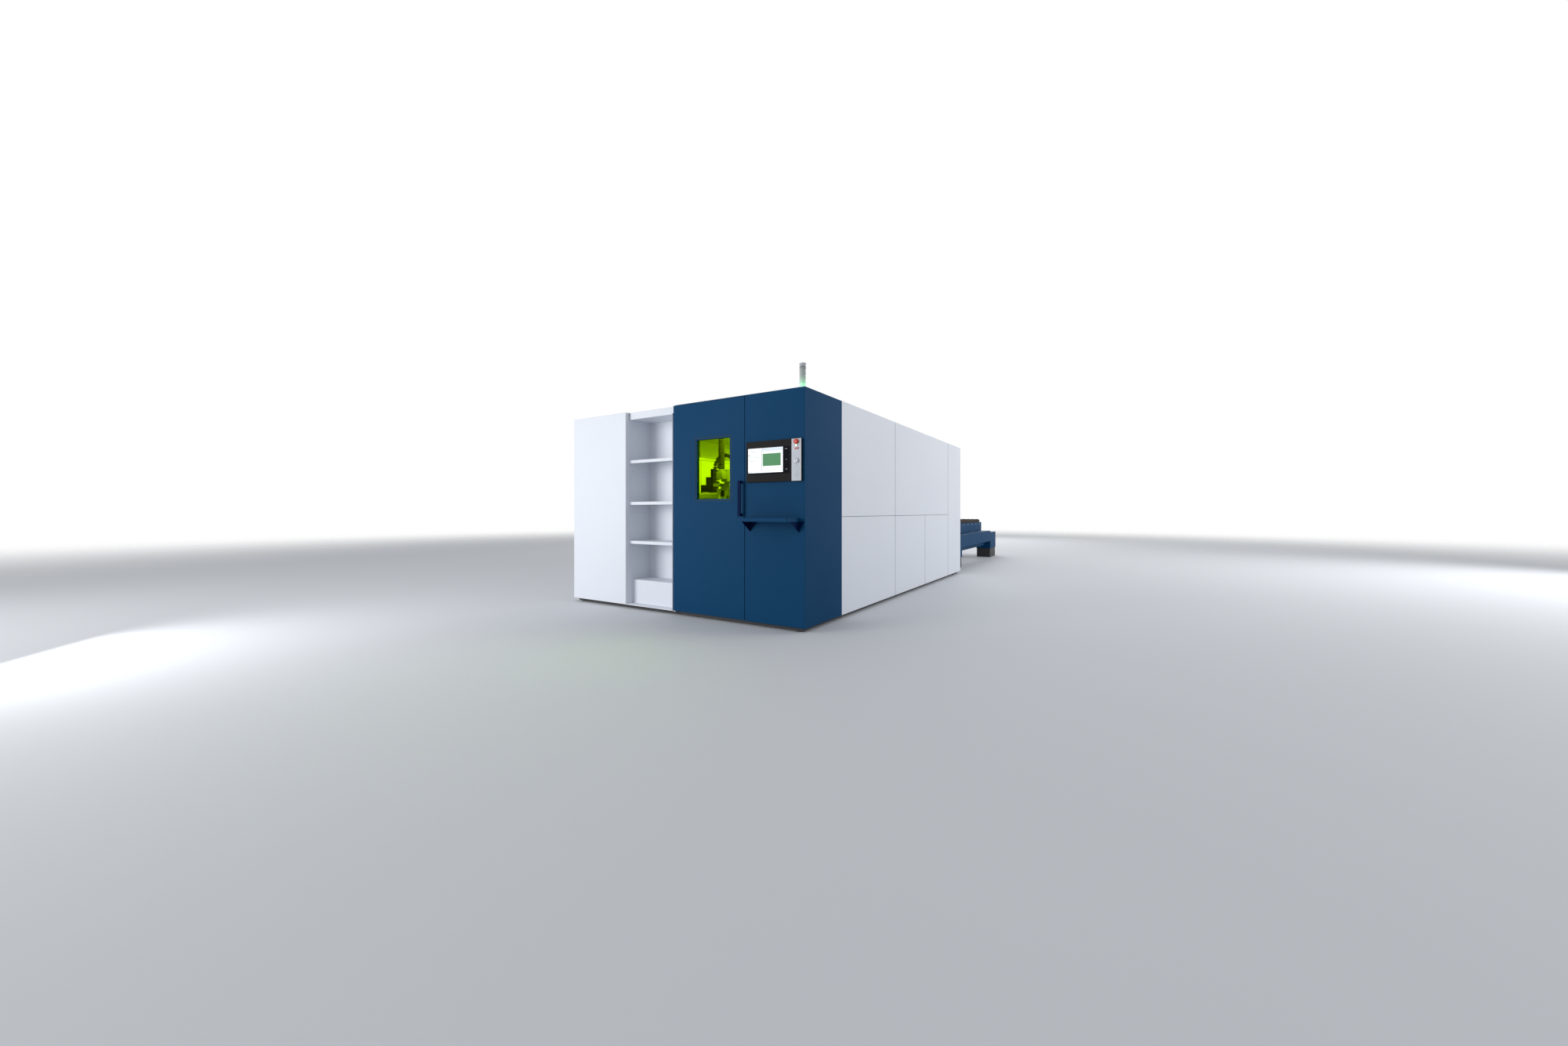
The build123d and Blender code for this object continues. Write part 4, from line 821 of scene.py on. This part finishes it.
@dataclass
class PanelScrews:
    """Small round-headed screws on the cabin's panels and inside the niche."""

    head: float = 0.0045
    height: float = 0.0022
    flat_height: float = 0.0004
    shares: Profile = ((1.0, 0.0), (1.0, 0.4), (0.75, 1.0), (0.375, 1.0), (0.3375, 0.5))
    sides: int = 14
    up: float = 0.028
    inset: float = 0.040
    liner_sheet: float = 0.002
    liner_rows: tuple[float, ...] = (0.60, 1.00, 1.43)
    liner_depths: tuple[float, ...] = (0.10, 0.26)
    side_panels: tuple[str, ...] = (
        "right_panel_lower_front", "right_panel_lower_middle", "right_panel_lower_rear",
        "right_end_panel", "left_panel_front", "left_panel_middle", "left_end_panel")

    def build(self) -> None:
        """Builds all the screws as one piece."""
        mesh = bmesh.new()
        for name in self.side_panels:
            low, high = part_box(name)
            right = high.x > 0.0
            face = high.x if right else low.x
            for y in (low.y + self.inset, high.y - self.inset):
                self._screw(mesh, (face, y, low.z + self.up), Axis.X, not right,
                            self.flat_height)
        low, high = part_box("rear_wall")
        for x in (low.x + self.inset, 0.0, high.x - self.inset):
            for z in (low.z + self.up, high.z - self.up):
                self._screw(mesh, (x, high.y, z), Axis.Y, True, self.height)
        low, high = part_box("niche_liner")
        for z in self.liner_rows:
            for depth in self.liner_depths:
                y = low.y + depth
                self._screw(mesh, (low.x + self.liner_sheet, y, z), Axis.X, False, self.height)
                self._screw(mesh, (high.x - self.liner_sheet, y, z), Axis.X, True, self.height)
        finished("panel_screws", mesh, STEEL, "root")

    def _screw(self, mesh: bmesh.types.BMesh, place: Point, axis: Axis, flip: bool,
               height: float) -> None:
        """Adds one screw head.

        Args:
            mesh: Mesh that gets it.
            place: Where its underside touches the sheet.
            axis: Axis that it stands along.
            flip: Whether it stands to the negative side.
            height: Height of its head.
        """
        profile = tuple((self.head * wide, height * up) for wide, up in self.shares)
        add_turning(mesh, profile, place, axis, self.sides, flip)


@dataclass
class PanelSeams:
    """Dark strips in the joints between the cabin's side panels: painted shade for the shadow in
    the seam grooves.
    """

    upright: float = 0.0032
    level: float = 0.0020
    proud: float = 0.0003
    depth: float = 0.004
    margin: float = 0.001
    rounding: float = 0.0001

    def build(self) -> None:
        """Builds the strips on both sides as one piece."""
        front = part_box("right_panel_lower_front")
        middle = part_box("right_panel_lower_middle")
        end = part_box("right_end_panel")
        low_z, high_z = end[0].z + self.margin, end[1].z - self.margin
        waist = front[1].z
        face = front[1].x
        mesh = bmesh.new()
        for y, top in ((front[1].y, high_z), (middle[1].y, waist), (end[0].y, high_z)):
            add_block(mesh, (face - self.depth, y - self.upright, low_z),
                      (face + self.proud, y + self.upright, top), self.rounding)
        add_block(mesh, (face - self.depth, front[0].y, waist - self.level),
                  (face + self.proud, end[0].y, waist + self.level), self.rounding)
        for y in (front[1].y, end[0].y):
            add_block(mesh, (-face - self.proud, y - self.upright, low_z),
                      (-face + self.depth, y + self.upright, high_z), self.rounding)
        # The strips are painted shade laid in the panel joints
        finished("panel_seam_painted_shade", mesh, SEAM_PAINTED_SHADE, "root", smooth=False)


@dataclass
class LampRings:
    """The thin grey rings between the lamp's segments."""

    heights: tuple[float, ...] = (0.0, 0.333, 0.667, 0.86, 1.0)
    thickness: float = 0.0025
    sunk: float = 0.001
    proud: float = 0.0009

    def build(self) -> None:
        """Builds the rings as one piece."""
        low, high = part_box("lamp_column")
        radius = (high.x - low.x) / 2.0
        mesh = bmesh.new()
        for share in self.heights:
            z = low.z + share * (high.z - low.z - self.thickness)
            add_ring(mesh, ((low.x + high.x) / 2.0, (low.y + high.y) / 2.0, z), Axis.Z,
                     radius - self.sunk, radius + self.proud, self.thickness)
        finished("lamp_rings", mesh, LIGHT_GREY, "root")


# Inside the cabin

@dataclass
class EnergyChain:
    """The energy chain's separate links, from the carriage's arm over to the head's landing."""

    links: int = 12
    plate: float = 0.007
    gap: float = 0.0015
    depth: float = 0.040
    corner: float = 0.012
    waist: float = 0.004
    pin_radius: float = 0.005
    pin_height: float = 0.0012
    pin_inset: float = 0.0072
    pin_sides: int = 12
    stay_share: float = 0.16
    stay_inner: float = 0.0144
    stay_outer: float = 0.0192
    rounding: float = 0.0012
    steps: int = 5

    def build(self) -> None:
        """Builds the chain's links and stays along the fixed arch, and hides the CAD arch."""
        low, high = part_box("energy_chain_arch")
        radius = (high.x - low.x - self.depth) / 2.0
        centre = Vector(((low.x + high.x) / 2.0, (low.y + high.y) / 2.0,
                         high.z - self.depth / 2.0 - radius))
        leg = centre.z - low.z
        pitch = (2.0 * leg + math.pi * radius) / self.links
        half_width = (high.y - low.y) / 2.0
        plates = bmesh.new()
        stays = bmesh.new()
        for index in range(self.links):
            place, heading = self._along((index + 0.5) * pitch, leg, radius, centre)
            turn = Matrix.Translation(place) @ Matrix.Rotation(heading, 4, "Y")
            self._plates(plates, turn, pitch, half_width)
            self._stays(stays, turn, pitch, half_width)
        chain = mesh_object("energy_chain_links", plates, smooth=True)
        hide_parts("energy_chain_arch")
        bars = mesh_object("energy_chain_stays", stays, smooth=True)
        for piece, finish, slot in ((chain, CHAIN, "chain_plastic"),
                                    (bars, ALLOY, "machined_alloy")):
            piece.data.materials.append(finish.material())
            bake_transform(piece)

    @staticmethod
    def _along(distance: float, leg: float, radius: float,
               centre: Vector) -> tuple[Vector, float]:
        """Finds a place along the chain's path.

        Args:
            distance: Distance from the carriage's end.
            leg: Length of each straight leg.
            radius: Radius of the arch.
            centre: Centre of the arch.

        Returns:
            The place, and the heading as an angle from upright.
        """
        arc = math.pi * radius
        if distance < leg:
            return centre + Vector((-radius, 0.0, distance - leg)), 0.0
        if distance < leg + arc:
            angle = (distance - leg) / radius
            offset = Vector((-radius * math.cos(angle), 0.0, radius * math.sin(angle)))
            return centre + offset, angle
        return centre + Vector((radius, 0.0, leg + arc - distance)), math.pi

    def _plates(self, mesh: bmesh.types.BMesh, turn: Matrix, pitch: float,
                half_width: float) -> None:
        """Adds one link's side plates, with rounded ends, a waist and a pin at each joint.

        Args:
            mesh: Mesh that gets them.
            turn: Place and heading of the link.
            pitch: Length of a link along the chain.
            half_width: Half the width of the chain.
        """
        part = bmesh.new()
        reach = pitch / 2.0 - self.gap
        half_depth = self.depth / 2.0
        outline = []
        for sx, sz, start in ((1, 1, 0.0), (-1, 1, 90.0), (-1, -1, 180.0), (1, -1, 270.0)):
            for step in range(self.steps):
                angle = math.radians(start + 90.0 * step / (self.steps - 1))
                outline.append((sx * (half_depth - self.corner) + self.corner * math.cos(angle),
                                sz * (reach - self.corner) + self.corner * math.sin(angle)))
            if sz * sx < 0:
                outline.append((sx * (half_depth - self.waist), 0.0))
        for side in (-1, 1):
            outer = side * half_width
            plate = sorted((outer, outer - side * self.plate))
            add_prism(part, outline, plate[0], plate[1])
            add_turning(part, ((self.pin_radius, 0.0), (self.pin_radius, self.pin_height)),
                        (0.0, outer, reach - self.pin_inset), Axis.Y, self.pin_sides, side > 0)
        bmesh.ops.transform(part, matrix=turn, verts=part.verts)
        merge(mesh, part)

    def _stays(self, mesh: bmesh.types.BMesh, turn: Matrix, pitch: float,
               half_width: float) -> None:
        """Adds one link's two cross stays, between its side plates.

        Args:
            mesh: Mesh that gets them.
            turn: Place and heading of the link.
            pitch: Length of a link along the chain.
            half_width: Half the width of the chain.
        """
        part = bmesh.new()
        inside = half_width - self.plate
        half_bar = pitch * self.stay_share
        for side in (-1, 1):
            x0, x1 = sorted((side * self.stay_inner, side * self.stay_outer))
            add_block(part, (x0, -inside, -half_bar), (x1, inside, half_bar), self.rounding)
        bmesh.ops.transform(part, matrix=turn, verts=part.verts)
        merge(mesh, part)


@dataclass
class CarriageConduit:
    """The corrugated conduit that rises from the carriage's motor and turns back over it."""

    radius: float = 0.036
    groove: float = 0.005
    rib: float = 0.020
    x: float = 0.010
    chain_gap: float = 0.004
    box_low: float = 1.365
    box_high: float = 1.445
    box_half: float = 0.042
    top_z: float = 1.83
    back_foot_z: float = 1.40
    motor_front: float = -3.650
    tower_back: float = -3.542
    sides: int = 24
    collar_wall: float = 0.003
    collar_height: float = 0.022
    collar_rim: float = 0.002
    collar_sides: int = 28
    plate: float = 0.006
    plate_drop: float = 0.060
    plate_rounding: float = 0.001
    box_rounding: float = 0.004

    def build(self) -> None:
        """Builds the conduit, its box, its two collars and the plate behind the tower."""
        chain_front = min(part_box("energy_chain_arch")[0].y, self.motor_front)
        cuff = self.radius + self.collar_wall
        front_y = chain_front - self.chain_gap - cuff
        back_y = self.tower_back + self.chain_gap + cuff + self.plate
        bend = (back_y - front_y) / 2.0
        mesh = bmesh.new()
        self._sweep(mesh, self._path(front_y, back_y, bend))
        finished("carriage_conduit", mesh, RUBBER, "carriage")
        mesh = bmesh.new()
        x0, x1 = self.x - self.box_half, self.x + self.box_half
        for y, z in ((front_y, self.box_high), (back_y, self.back_foot_z)):
            add_turning(mesh, ((cuff, 0.0), (cuff, self.collar_height),
                               (cuff - self.collar_rim, self.collar_height + self.collar_rim)),
                        (self.x, y, z), Axis.Z, self.collar_sides)
        for y1, drop in ((back_y + cuff, self.plate),
                         (self.tower_back + self.plate, self.plate_drop)):
            add_block(mesh, (x0, self.tower_back, self.back_foot_z - drop),
                      (x1, y1, self.back_foot_z), self.plate_rounding)
        add_block(mesh, (x0, front_y - cuff, self.box_low), (x1, self.motor_front, self.box_high),
                  self.box_rounding)
        finished("conduit_box_and_collars", mesh, GREY, "carriage")

    def _path(self, front_y: float, back_y: float, bend: float) -> list[tuple[Vector, float]]:
        """Lays out the conduit's middle line as points with their headings.

        Args:
            front_y: Y of the rising leg.
            back_y: Y of the falling leg.
            bend: Radius of the turn at the top.

        Returns:
            Points from foot to foot, and the turn about X of each.
        """
        step = self.rib / 2.0
        rise = self.top_z - self.box_high
        fall = self.top_z - self.back_foot_z
        length = rise + math.pi * bend + fall
        count = int(length / step)
        path = []
        for index in range(count + 1):
            distance = length * index / count
            if distance < rise:
                path.append((Vector((self.x, front_y, self.box_high + distance)), 0.0))
            elif distance < rise + math.pi * bend:
                angle = (distance - rise) / bend
                path.append((Vector((self.x, front_y + bend - bend * math.cos(angle),
                                     self.top_z + bend * math.sin(angle))), angle))
            else:
                past = distance - rise - math.pi * bend
                path.append((Vector((self.x, back_y, self.top_z - past)), math.pi))
        return path

    def _sweep(self, mesh: bmesh.types.BMesh, path: list[tuple[Vector, float]]) -> None:
        """Skins the corrugated tube along its middle line.

        Args:
            mesh: Mesh that gets it.
            path: Points and headings.
        """
        rings = []
        for index, (place, angle) in enumerate(path):
            radius = self.radius - (self.groove if index % 2 else 0.0)
            turn = Matrix.Translation(place) @ Matrix.Rotation(-angle, 4, "X")
            rings.append([mesh.verts.new(turn @ Vector((x, y, 0.0)))
                          for x, y in circle(radius, self.sides)])
        skin(mesh, rings)


@dataclass
class BridgeFittings:
    """The bridge's control boxes, a flange at each end and the drive motor on the right one."""

    motor_size: float = 0.085
    motor_height: float = 0.16
    motor_inset: float = 0.075
    motor_rounding: float = 0.006
    flange_lip: float = 0.008
    flange_height: float = 0.012
    flange_rounding: float = 0.0015
    plug: Profile = ((0.012, 0.0), (0.012, 0.018), (0.008, 0.022))
    plug_share: float = 0.75
    plug_sides: int = 16
    boxes: tuple[tuple[float, float, float], ...] = (
        (-0.530, -0.452, 0.100), (-0.450, -0.379, 0.190), (-0.377, -0.337, 0.285))
    box_back: float = 0.020
    box_depth: float = 0.100
    box_rounding: float = 0.004

    def build(self) -> None:
        """Builds the fittings on the bridge."""
        low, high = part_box("gantry_bridge")
        mesh = bmesh.new()
        for x0, x1, height in self.boxes:
            add_block(mesh, (x0, high.y - self.box_back - self.box_depth, high.z),
                      (x1, high.y - self.box_back, high.z + height), self.box_rounding)
        finished("bridge_control_boxes", mesh, CHARCOAL, "bridge")
        motors = bmesh.new()
        flanges = bmesh.new()
        half = self.motor_size / 2.0
        lip = half + self.flange_lip
        y = high.y - self.motor_inset
        flange_top = high.z + self.flange_height
        for x in (low.x + self.motor_inset, high.x - self.motor_inset):
            add_block(flanges, (x - lip, y - lip, high.z), (x + lip, y + lip, flange_top),
                      self.flange_rounding)
            if x > 0.0:
                add_block(motors, (x - half, y - half, flange_top),
                          (x + half, y + half, high.z + self.motor_height), self.motor_rounding)
                add_turning(motors, self.plug,
                            (x, y - half, high.z + self.motor_height * self.plug_share), Axis.Y,
                            self.plug_sides)
        finished("bridge_drive_motor", motors, CHARCOAL, "bridge")
        finished("bridge_drive_flanges", flanges, ALLOY, "bridge")


@dataclass
class HeadFittings:
    """The collimator on the cutting head, the head's two rings and its gas port."""

    collimator: Profile = (
        (0.0275, 0.0), (0.0275, 0.010), (0.022, 0.012), (0.022, 0.045), (0.0176, 0.0495),
        (0.0176, 0.0675), (0.0088, 0.075))
    collimator_sides: int = 28
    ring_up: float = 0.215
    ring_down: float = 0.012
    ring_sunk: float = 0.002
    ring_proud: float = 0.0015
    ring_height: float = 0.005
    port: Profile = ((0.008, 0.0), (0.008, 0.020), (0.005, 0.024))
    port_up: float = 0.14
    port_share: float = 0.82
    port_sides: int = 16

    def build(self) -> None:
        """Builds the fittings on the head."""
        low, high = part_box("cutting_head")
        x = (low.x + high.x) / 2.0
        radius = (high.x - low.x) / 2.0
        y = low.y + radius
        mesh = bmesh.new()
        add_turning(mesh, self.collimator, (x, y, high.z), Axis.Z, self.collimator_sides)
        finished("fibre_collimator", mesh, CHARCOAL, "head")
        mesh = bmesh.new()
        for z in (low.z + self.ring_up, high.z - self.ring_down):
            add_ring(mesh, (x, y, z), Axis.Z, radius - self.ring_sunk, radius + self.ring_proud,
                     self.ring_height)
        add_turning(mesh, self.port, (x + radius * self.port_share, y, low.z + self.port_up),
                    Axis.X, self.port_sides)
        finished("head_rings_and_port", mesh, STEEL, "head")


@dataclass
class CabinFittings:
    """Light bars under the roof, and louvres, door lines and a grip on the laser cabinet."""

    bar_width: float = 0.06
    bar_height: float = 0.028
    bar_rounding: float = 0.004
    bars: tuple[float, ...] = (-0.20, 1.00)
    bar_front: float = 0.20
    bar_rear: float = 0.30
    louvres: int = 9
    louvre_up: float = 0.16
    louvre_pitch: float = 0.026
    louvre_places: tuple[float, ...] = (0.18, 0.86)
    louvre_length: float = 0.46
    louvre_height: float = 0.010
    louvre_proud: float = 0.004
    louvre_rounding: float = 0.0018
    line: float = 0.003
    line_proud: float = 0.0006
    line_inset: float = 0.03
    grip_low: float = 0.85
    grip_high: float = 1.0
    grip_offset: float = 0.05
    grip_size: float = 0.022
    grip_rounding: float = 0.003

    def build(self) -> None:
        """Builds the fittings fixed to the cabin."""
        roof_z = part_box("roof")[0].z
        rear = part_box("rear_guard_door")[0].y - self.bar_rear
        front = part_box("niche_liner")[1].y + self.bar_front
        half = self.bar_width / 2.0
        mesh = bmesh.new()
        for x in self.bars:
            add_block(mesh, (x - half, front, roof_z - self.bar_height), (x + half, rear, roof_z),
                      self.bar_rounding)
        finished("cabin_light_bars", mesh, LED, "root")
        low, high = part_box("laser_source_cabinet")
        mesh = bmesh.new()
        for row in range(self.louvres):
            z = low.z + self.louvre_up + row * self.louvre_pitch
            for place in self.louvre_places:
                y = low.y + place
                add_block(mesh, (high.x, y, z), (high.x + self.louvre_proud,
                                                 y + self.louvre_length, z + self.louvre_height),
                          self.louvre_rounding)
        finished("cabinet_louvres", mesh, GREY, "root")
        middle = (low.y + high.y) / 2.0
        face = high.x + self.line_proud
        low_y, high_y = low.y + self.line_inset, high.y - self.line_inset
        low_z, high_z = low.z + self.line_inset, high.z - self.line_inset
        mesh = bmesh.new()
        add_block(mesh, (high.x, middle - self.line / 2.0, low_z),
                  (face, middle + self.line / 2.0, high_z))
        for z in (low_z, high_z - self.line):
            add_block(mesh, (high.x, low_y, z), (face, high_y, z + self.line))
        grip_y = middle + self.grip_offset
        add_block(mesh, (high.x, grip_y, low.z + self.grip_low),
                  (high.x + self.grip_size, grip_y + self.grip_size, low.z + self.grip_high),
                  self.grip_rounding)
        finished("cabinet_door_lines", mesh, CHARCOAL, "root")


# Pallets

@dataclass
class PalletFittings:
    """White guide rollers along a pallet's sides and black caps on its rear end."""

    pallet: str
    roller_radius: float = 0.011
    roller_length: float = 0.004
    roller_shares: Profile = ((1.0, 0.0), (1.0, 0.8), (0.7, 1.0))
    roller_sides: int = 20
    roller_down: float = 0.032
    rollers: int = 9
    cap: float = 0.012
    cap_width: float = 0.060
    cap_up: float = 0.030
    cap_side: float = 0.001
    cap_rounding: float = 0.002

    def build(self) -> None:
        """Builds the rollers and end caps of one pallet."""
        low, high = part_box(f"{self.pallet}_pallet_frame")
        body = f"{self.pallet}_pallet"
        profile = tuple((self.roller_radius * wide, self.roller_length * up)
                        for wide, up in self.roller_shares)
        mesh = bmesh.new()
        z = high.z - self.roller_down
        for index in range(self.rollers):
            y = low.y + (high.y - low.y) * (index + 0.5) / self.rollers
            for x, flip in ((high.x, False), (low.x, True)):
                add_turning(mesh, profile, (x, y, z), Axis.X, self.roller_sides, flip)
        finished(f"{self.pallet}_pallet_rollers", mesh, KEY_GREY, body)
        mesh = bmesh.new()
        for x0, x1 in ((low.x, low.x + self.cap_width), (high.x - self.cap_width, high.x)):
            add_block(mesh, (x0 + self.cap_side, high.y, low.z + self.cap_up),
                      (x1 - self.cap_side, high.y + self.cap, high.z - self.cap_rounding),
                      self.cap_rounding)
        finished(f"{self.pallet}_pallet_end_caps", mesh, RUBBER, body)


# Studio

@dataclass(frozen=True)
class SoftLamp:
    """A square area lamp."""

    name: str
    place: Point
    target: Point
    size: float
    watts: float


@dataclass
class Studio:
    """Floor, lamps, white surround and the camera of the photograph."""

    floor_half: float = 60.0
    fade_start: float = 9.0
    fade_end: float = 26.0
    floor_colour: Colour = (0.66, 0.68, 0.71)
    floor_shade: float = 0.97
    floor_roughness: float = 0.75
    floor_specular: float = 0.1
    floor_patches: float = 0.35
    world_colour: Colour = (0.95, 0.97, 1.0)
    world_light: float = 0.55
    backdrop: Colour = (1.0, 1.0, 1.0)
    lamps: tuple[SoftLamp, ...] = (
        SoftLamp("key_light", (-4.5, -12.5, 2.6), (-0.2, -4.4, 0.2), 4.0, 360.0),
        SoftLamp("side_fill", (10.5, 3.0, 4.0), (1.5, 0.0, 0.9), 6.0, 430.0),
        SoftLamp("door_glow", (-2.4, -8.0, 1.1), (-0.1, -4.45, 0.5), 2.0, 34.0),
        SoftLamp("rear_light", (-2.0, 12.0, 6.0), (0.0, 2.0, 0.8), 6.0, 420.0),
    )
    cabin_lamps: tuple[float, ...] = (-3.6, -1.6, 0.1)
    cabin_lamp_x: float = 0.4
    cabin_lamp_drop: float = 0.05
    cabin_lamp_size: float = 0.9
    cabin_lamp_watts: float = 42.0
    camera_place: Point = (3.682, -8.206, 1.009)
    camera_turn: float = 32.37
    lens: float = 12.096
    sensor_width: float = 36.0
    clip_end: float = 200.0
    shift_y: float = -0.00735

    def build(self) -> None:
        """Builds everything round the machine."""
        self._floor()
        self._world()
        for plan in self.lamps:
            self._hang(plan)
        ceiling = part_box("roof")[0].z - self.cabin_lamp_drop
        for index, y in enumerate(self.cabin_lamps):
            self._hang(SoftLamp(f"cabin_light_{index}", (self.cabin_lamp_x, y, ceiling),
                                (self.cabin_lamp_x, y, 0.0), self.cabin_lamp_size,
                                self.cabin_lamp_watts))
        self._camera()

    def _floor(self) -> None:
        """Lays the pale floor."""
        mesh = bmesh.new()
        bmesh.ops.create_grid(mesh, x_segments=1, y_segments=1, size=self.floor_half)
        floor = mesh_object("studio_floor", mesh)
        made, tree, shader = new_material("studio_floor")
        shader.inputs["Roughness"].default_value = self.floor_roughness
        shader.inputs["Specular IOR Level"].default_value = self.floor_specular
        patch = noise(tree, self.floor_patches, 2.0)
        darker = tuple(self.floor_shade * c for c in self.floor_colour)
        tree.links.new(colour_mix(tree, self.floor_colour, darker, patch.outputs["Fac"]),
                       shader.inputs["Base Color"])
        place = tree.nodes.new("ShaderNodeTexCoord")
        reach = tree.nodes.new("ShaderNodeVectorMath")
        reach.operation = "LENGTH"
        tree.links.new(place.outputs["Object"], reach.inputs[0])
        fade = spread(tree, reach.outputs["Value"], 1.0, 0.0, self.fade_start, self.fade_end)
        fade.node.interpolation_type = "SMOOTHERSTEP"
        tree.links.new(fade, shader.inputs["Alpha"])
        floor.data.materials.append(made)

    def _world(self) -> None:
        """Sets a white surround that adds only soft light."""
        world = bpy.data.worlds.new("studio_world")
        bpy.context.scene.world = world
        world.use_nodes = True
        tree = world.node_tree
        tree.nodes.clear()
        path = tree.nodes.new("ShaderNodeLightPath")
        seen = path.outputs["Is Camera Ray"]
        for ray in ("Is Glossy Ray", "Is Transmission Ray"):
            seen = combined(tree, "MAXIMUM", seen, path.outputs[ray])
        mix = tree.nodes.new("ShaderNodeMixShader")
        out = tree.nodes.new("ShaderNodeOutputWorld")
        tree.links.new(seen, mix.inputs["Fac"])
        for socket, colour, strength in ((1, self.world_colour, self.world_light),
                                         (2, self.backdrop, 1.0)):
            light = tree.nodes.new("ShaderNodeBackground")
            light.inputs["Color"].default_value = (*colour, 1.0)
            light.inputs["Strength"].default_value = strength
            tree.links.new(light.outputs["Background"], mix.inputs[socket])
        tree.links.new(mix.outputs["Shader"], out.inputs["Surface"])

    def _hang(self, plan: SoftLamp) -> None:
        """Hangs a lamp that only lights, and isn't seen itself.

        Args:
            plan: Where it hangs, where it points, its size and power.
        """
        data = bpy.data.lights.new(plan.name, "AREA")
        data.size = plan.size
        data.energy = plan.watts
        lamp = bpy.data.objects.new(plan.name, data)
        bpy.context.collection.objects.link(lamp)
        lamp.location = plan.place
        lamp.visible_camera = False
        direction = Vector(plan.target) - Vector(plan.place)
        lamp.rotation_euler = direction.to_track_quat("-Z", "Y").to_euler()

    def _camera(self) -> None:
        """Places the camera where the photograph was taken."""
        data = bpy.data.cameras.new("photo_camera")
        data.lens = self.lens
        data.sensor_width = self.sensor_width
        data.shift_y = self.shift_y
        data.clip_end = self.clip_end
        camera = bpy.data.objects.new("photo_camera", data)
        bpy.context.collection.objects.link(camera)
        camera.location = self.camera_place
        camera.rotation_euler = (math.radians(90.0), 0.0, math.radians(self.camera_turn))
        bpy.context.scene.camera = camera


def main(frame: dict) -> None:
    """Builds the studio and dresses the machine.
    """
    logging.basicConfig(level=logging.INFO, format="%(name)s: %(message)s")
    bpy.context.scene.view_settings.view_transform = "Standard"
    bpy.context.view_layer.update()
    dress_nodes(frame)
    for part in (OperatorPanel(), DoorTrim(), PanelScrews(), PanelSeams(), LampRings(),
                 EnergyChain(), CarriageConduit(), BridgeFittings(), HeadFittings(),
                 CabinFittings(), PalletFittings("upper"), PalletFittings("lower")):
        part.build()
        LOG.info("%s built", type(part).__name__)
    Studio().build()


if __name__ == "__main__":
    main(frame)
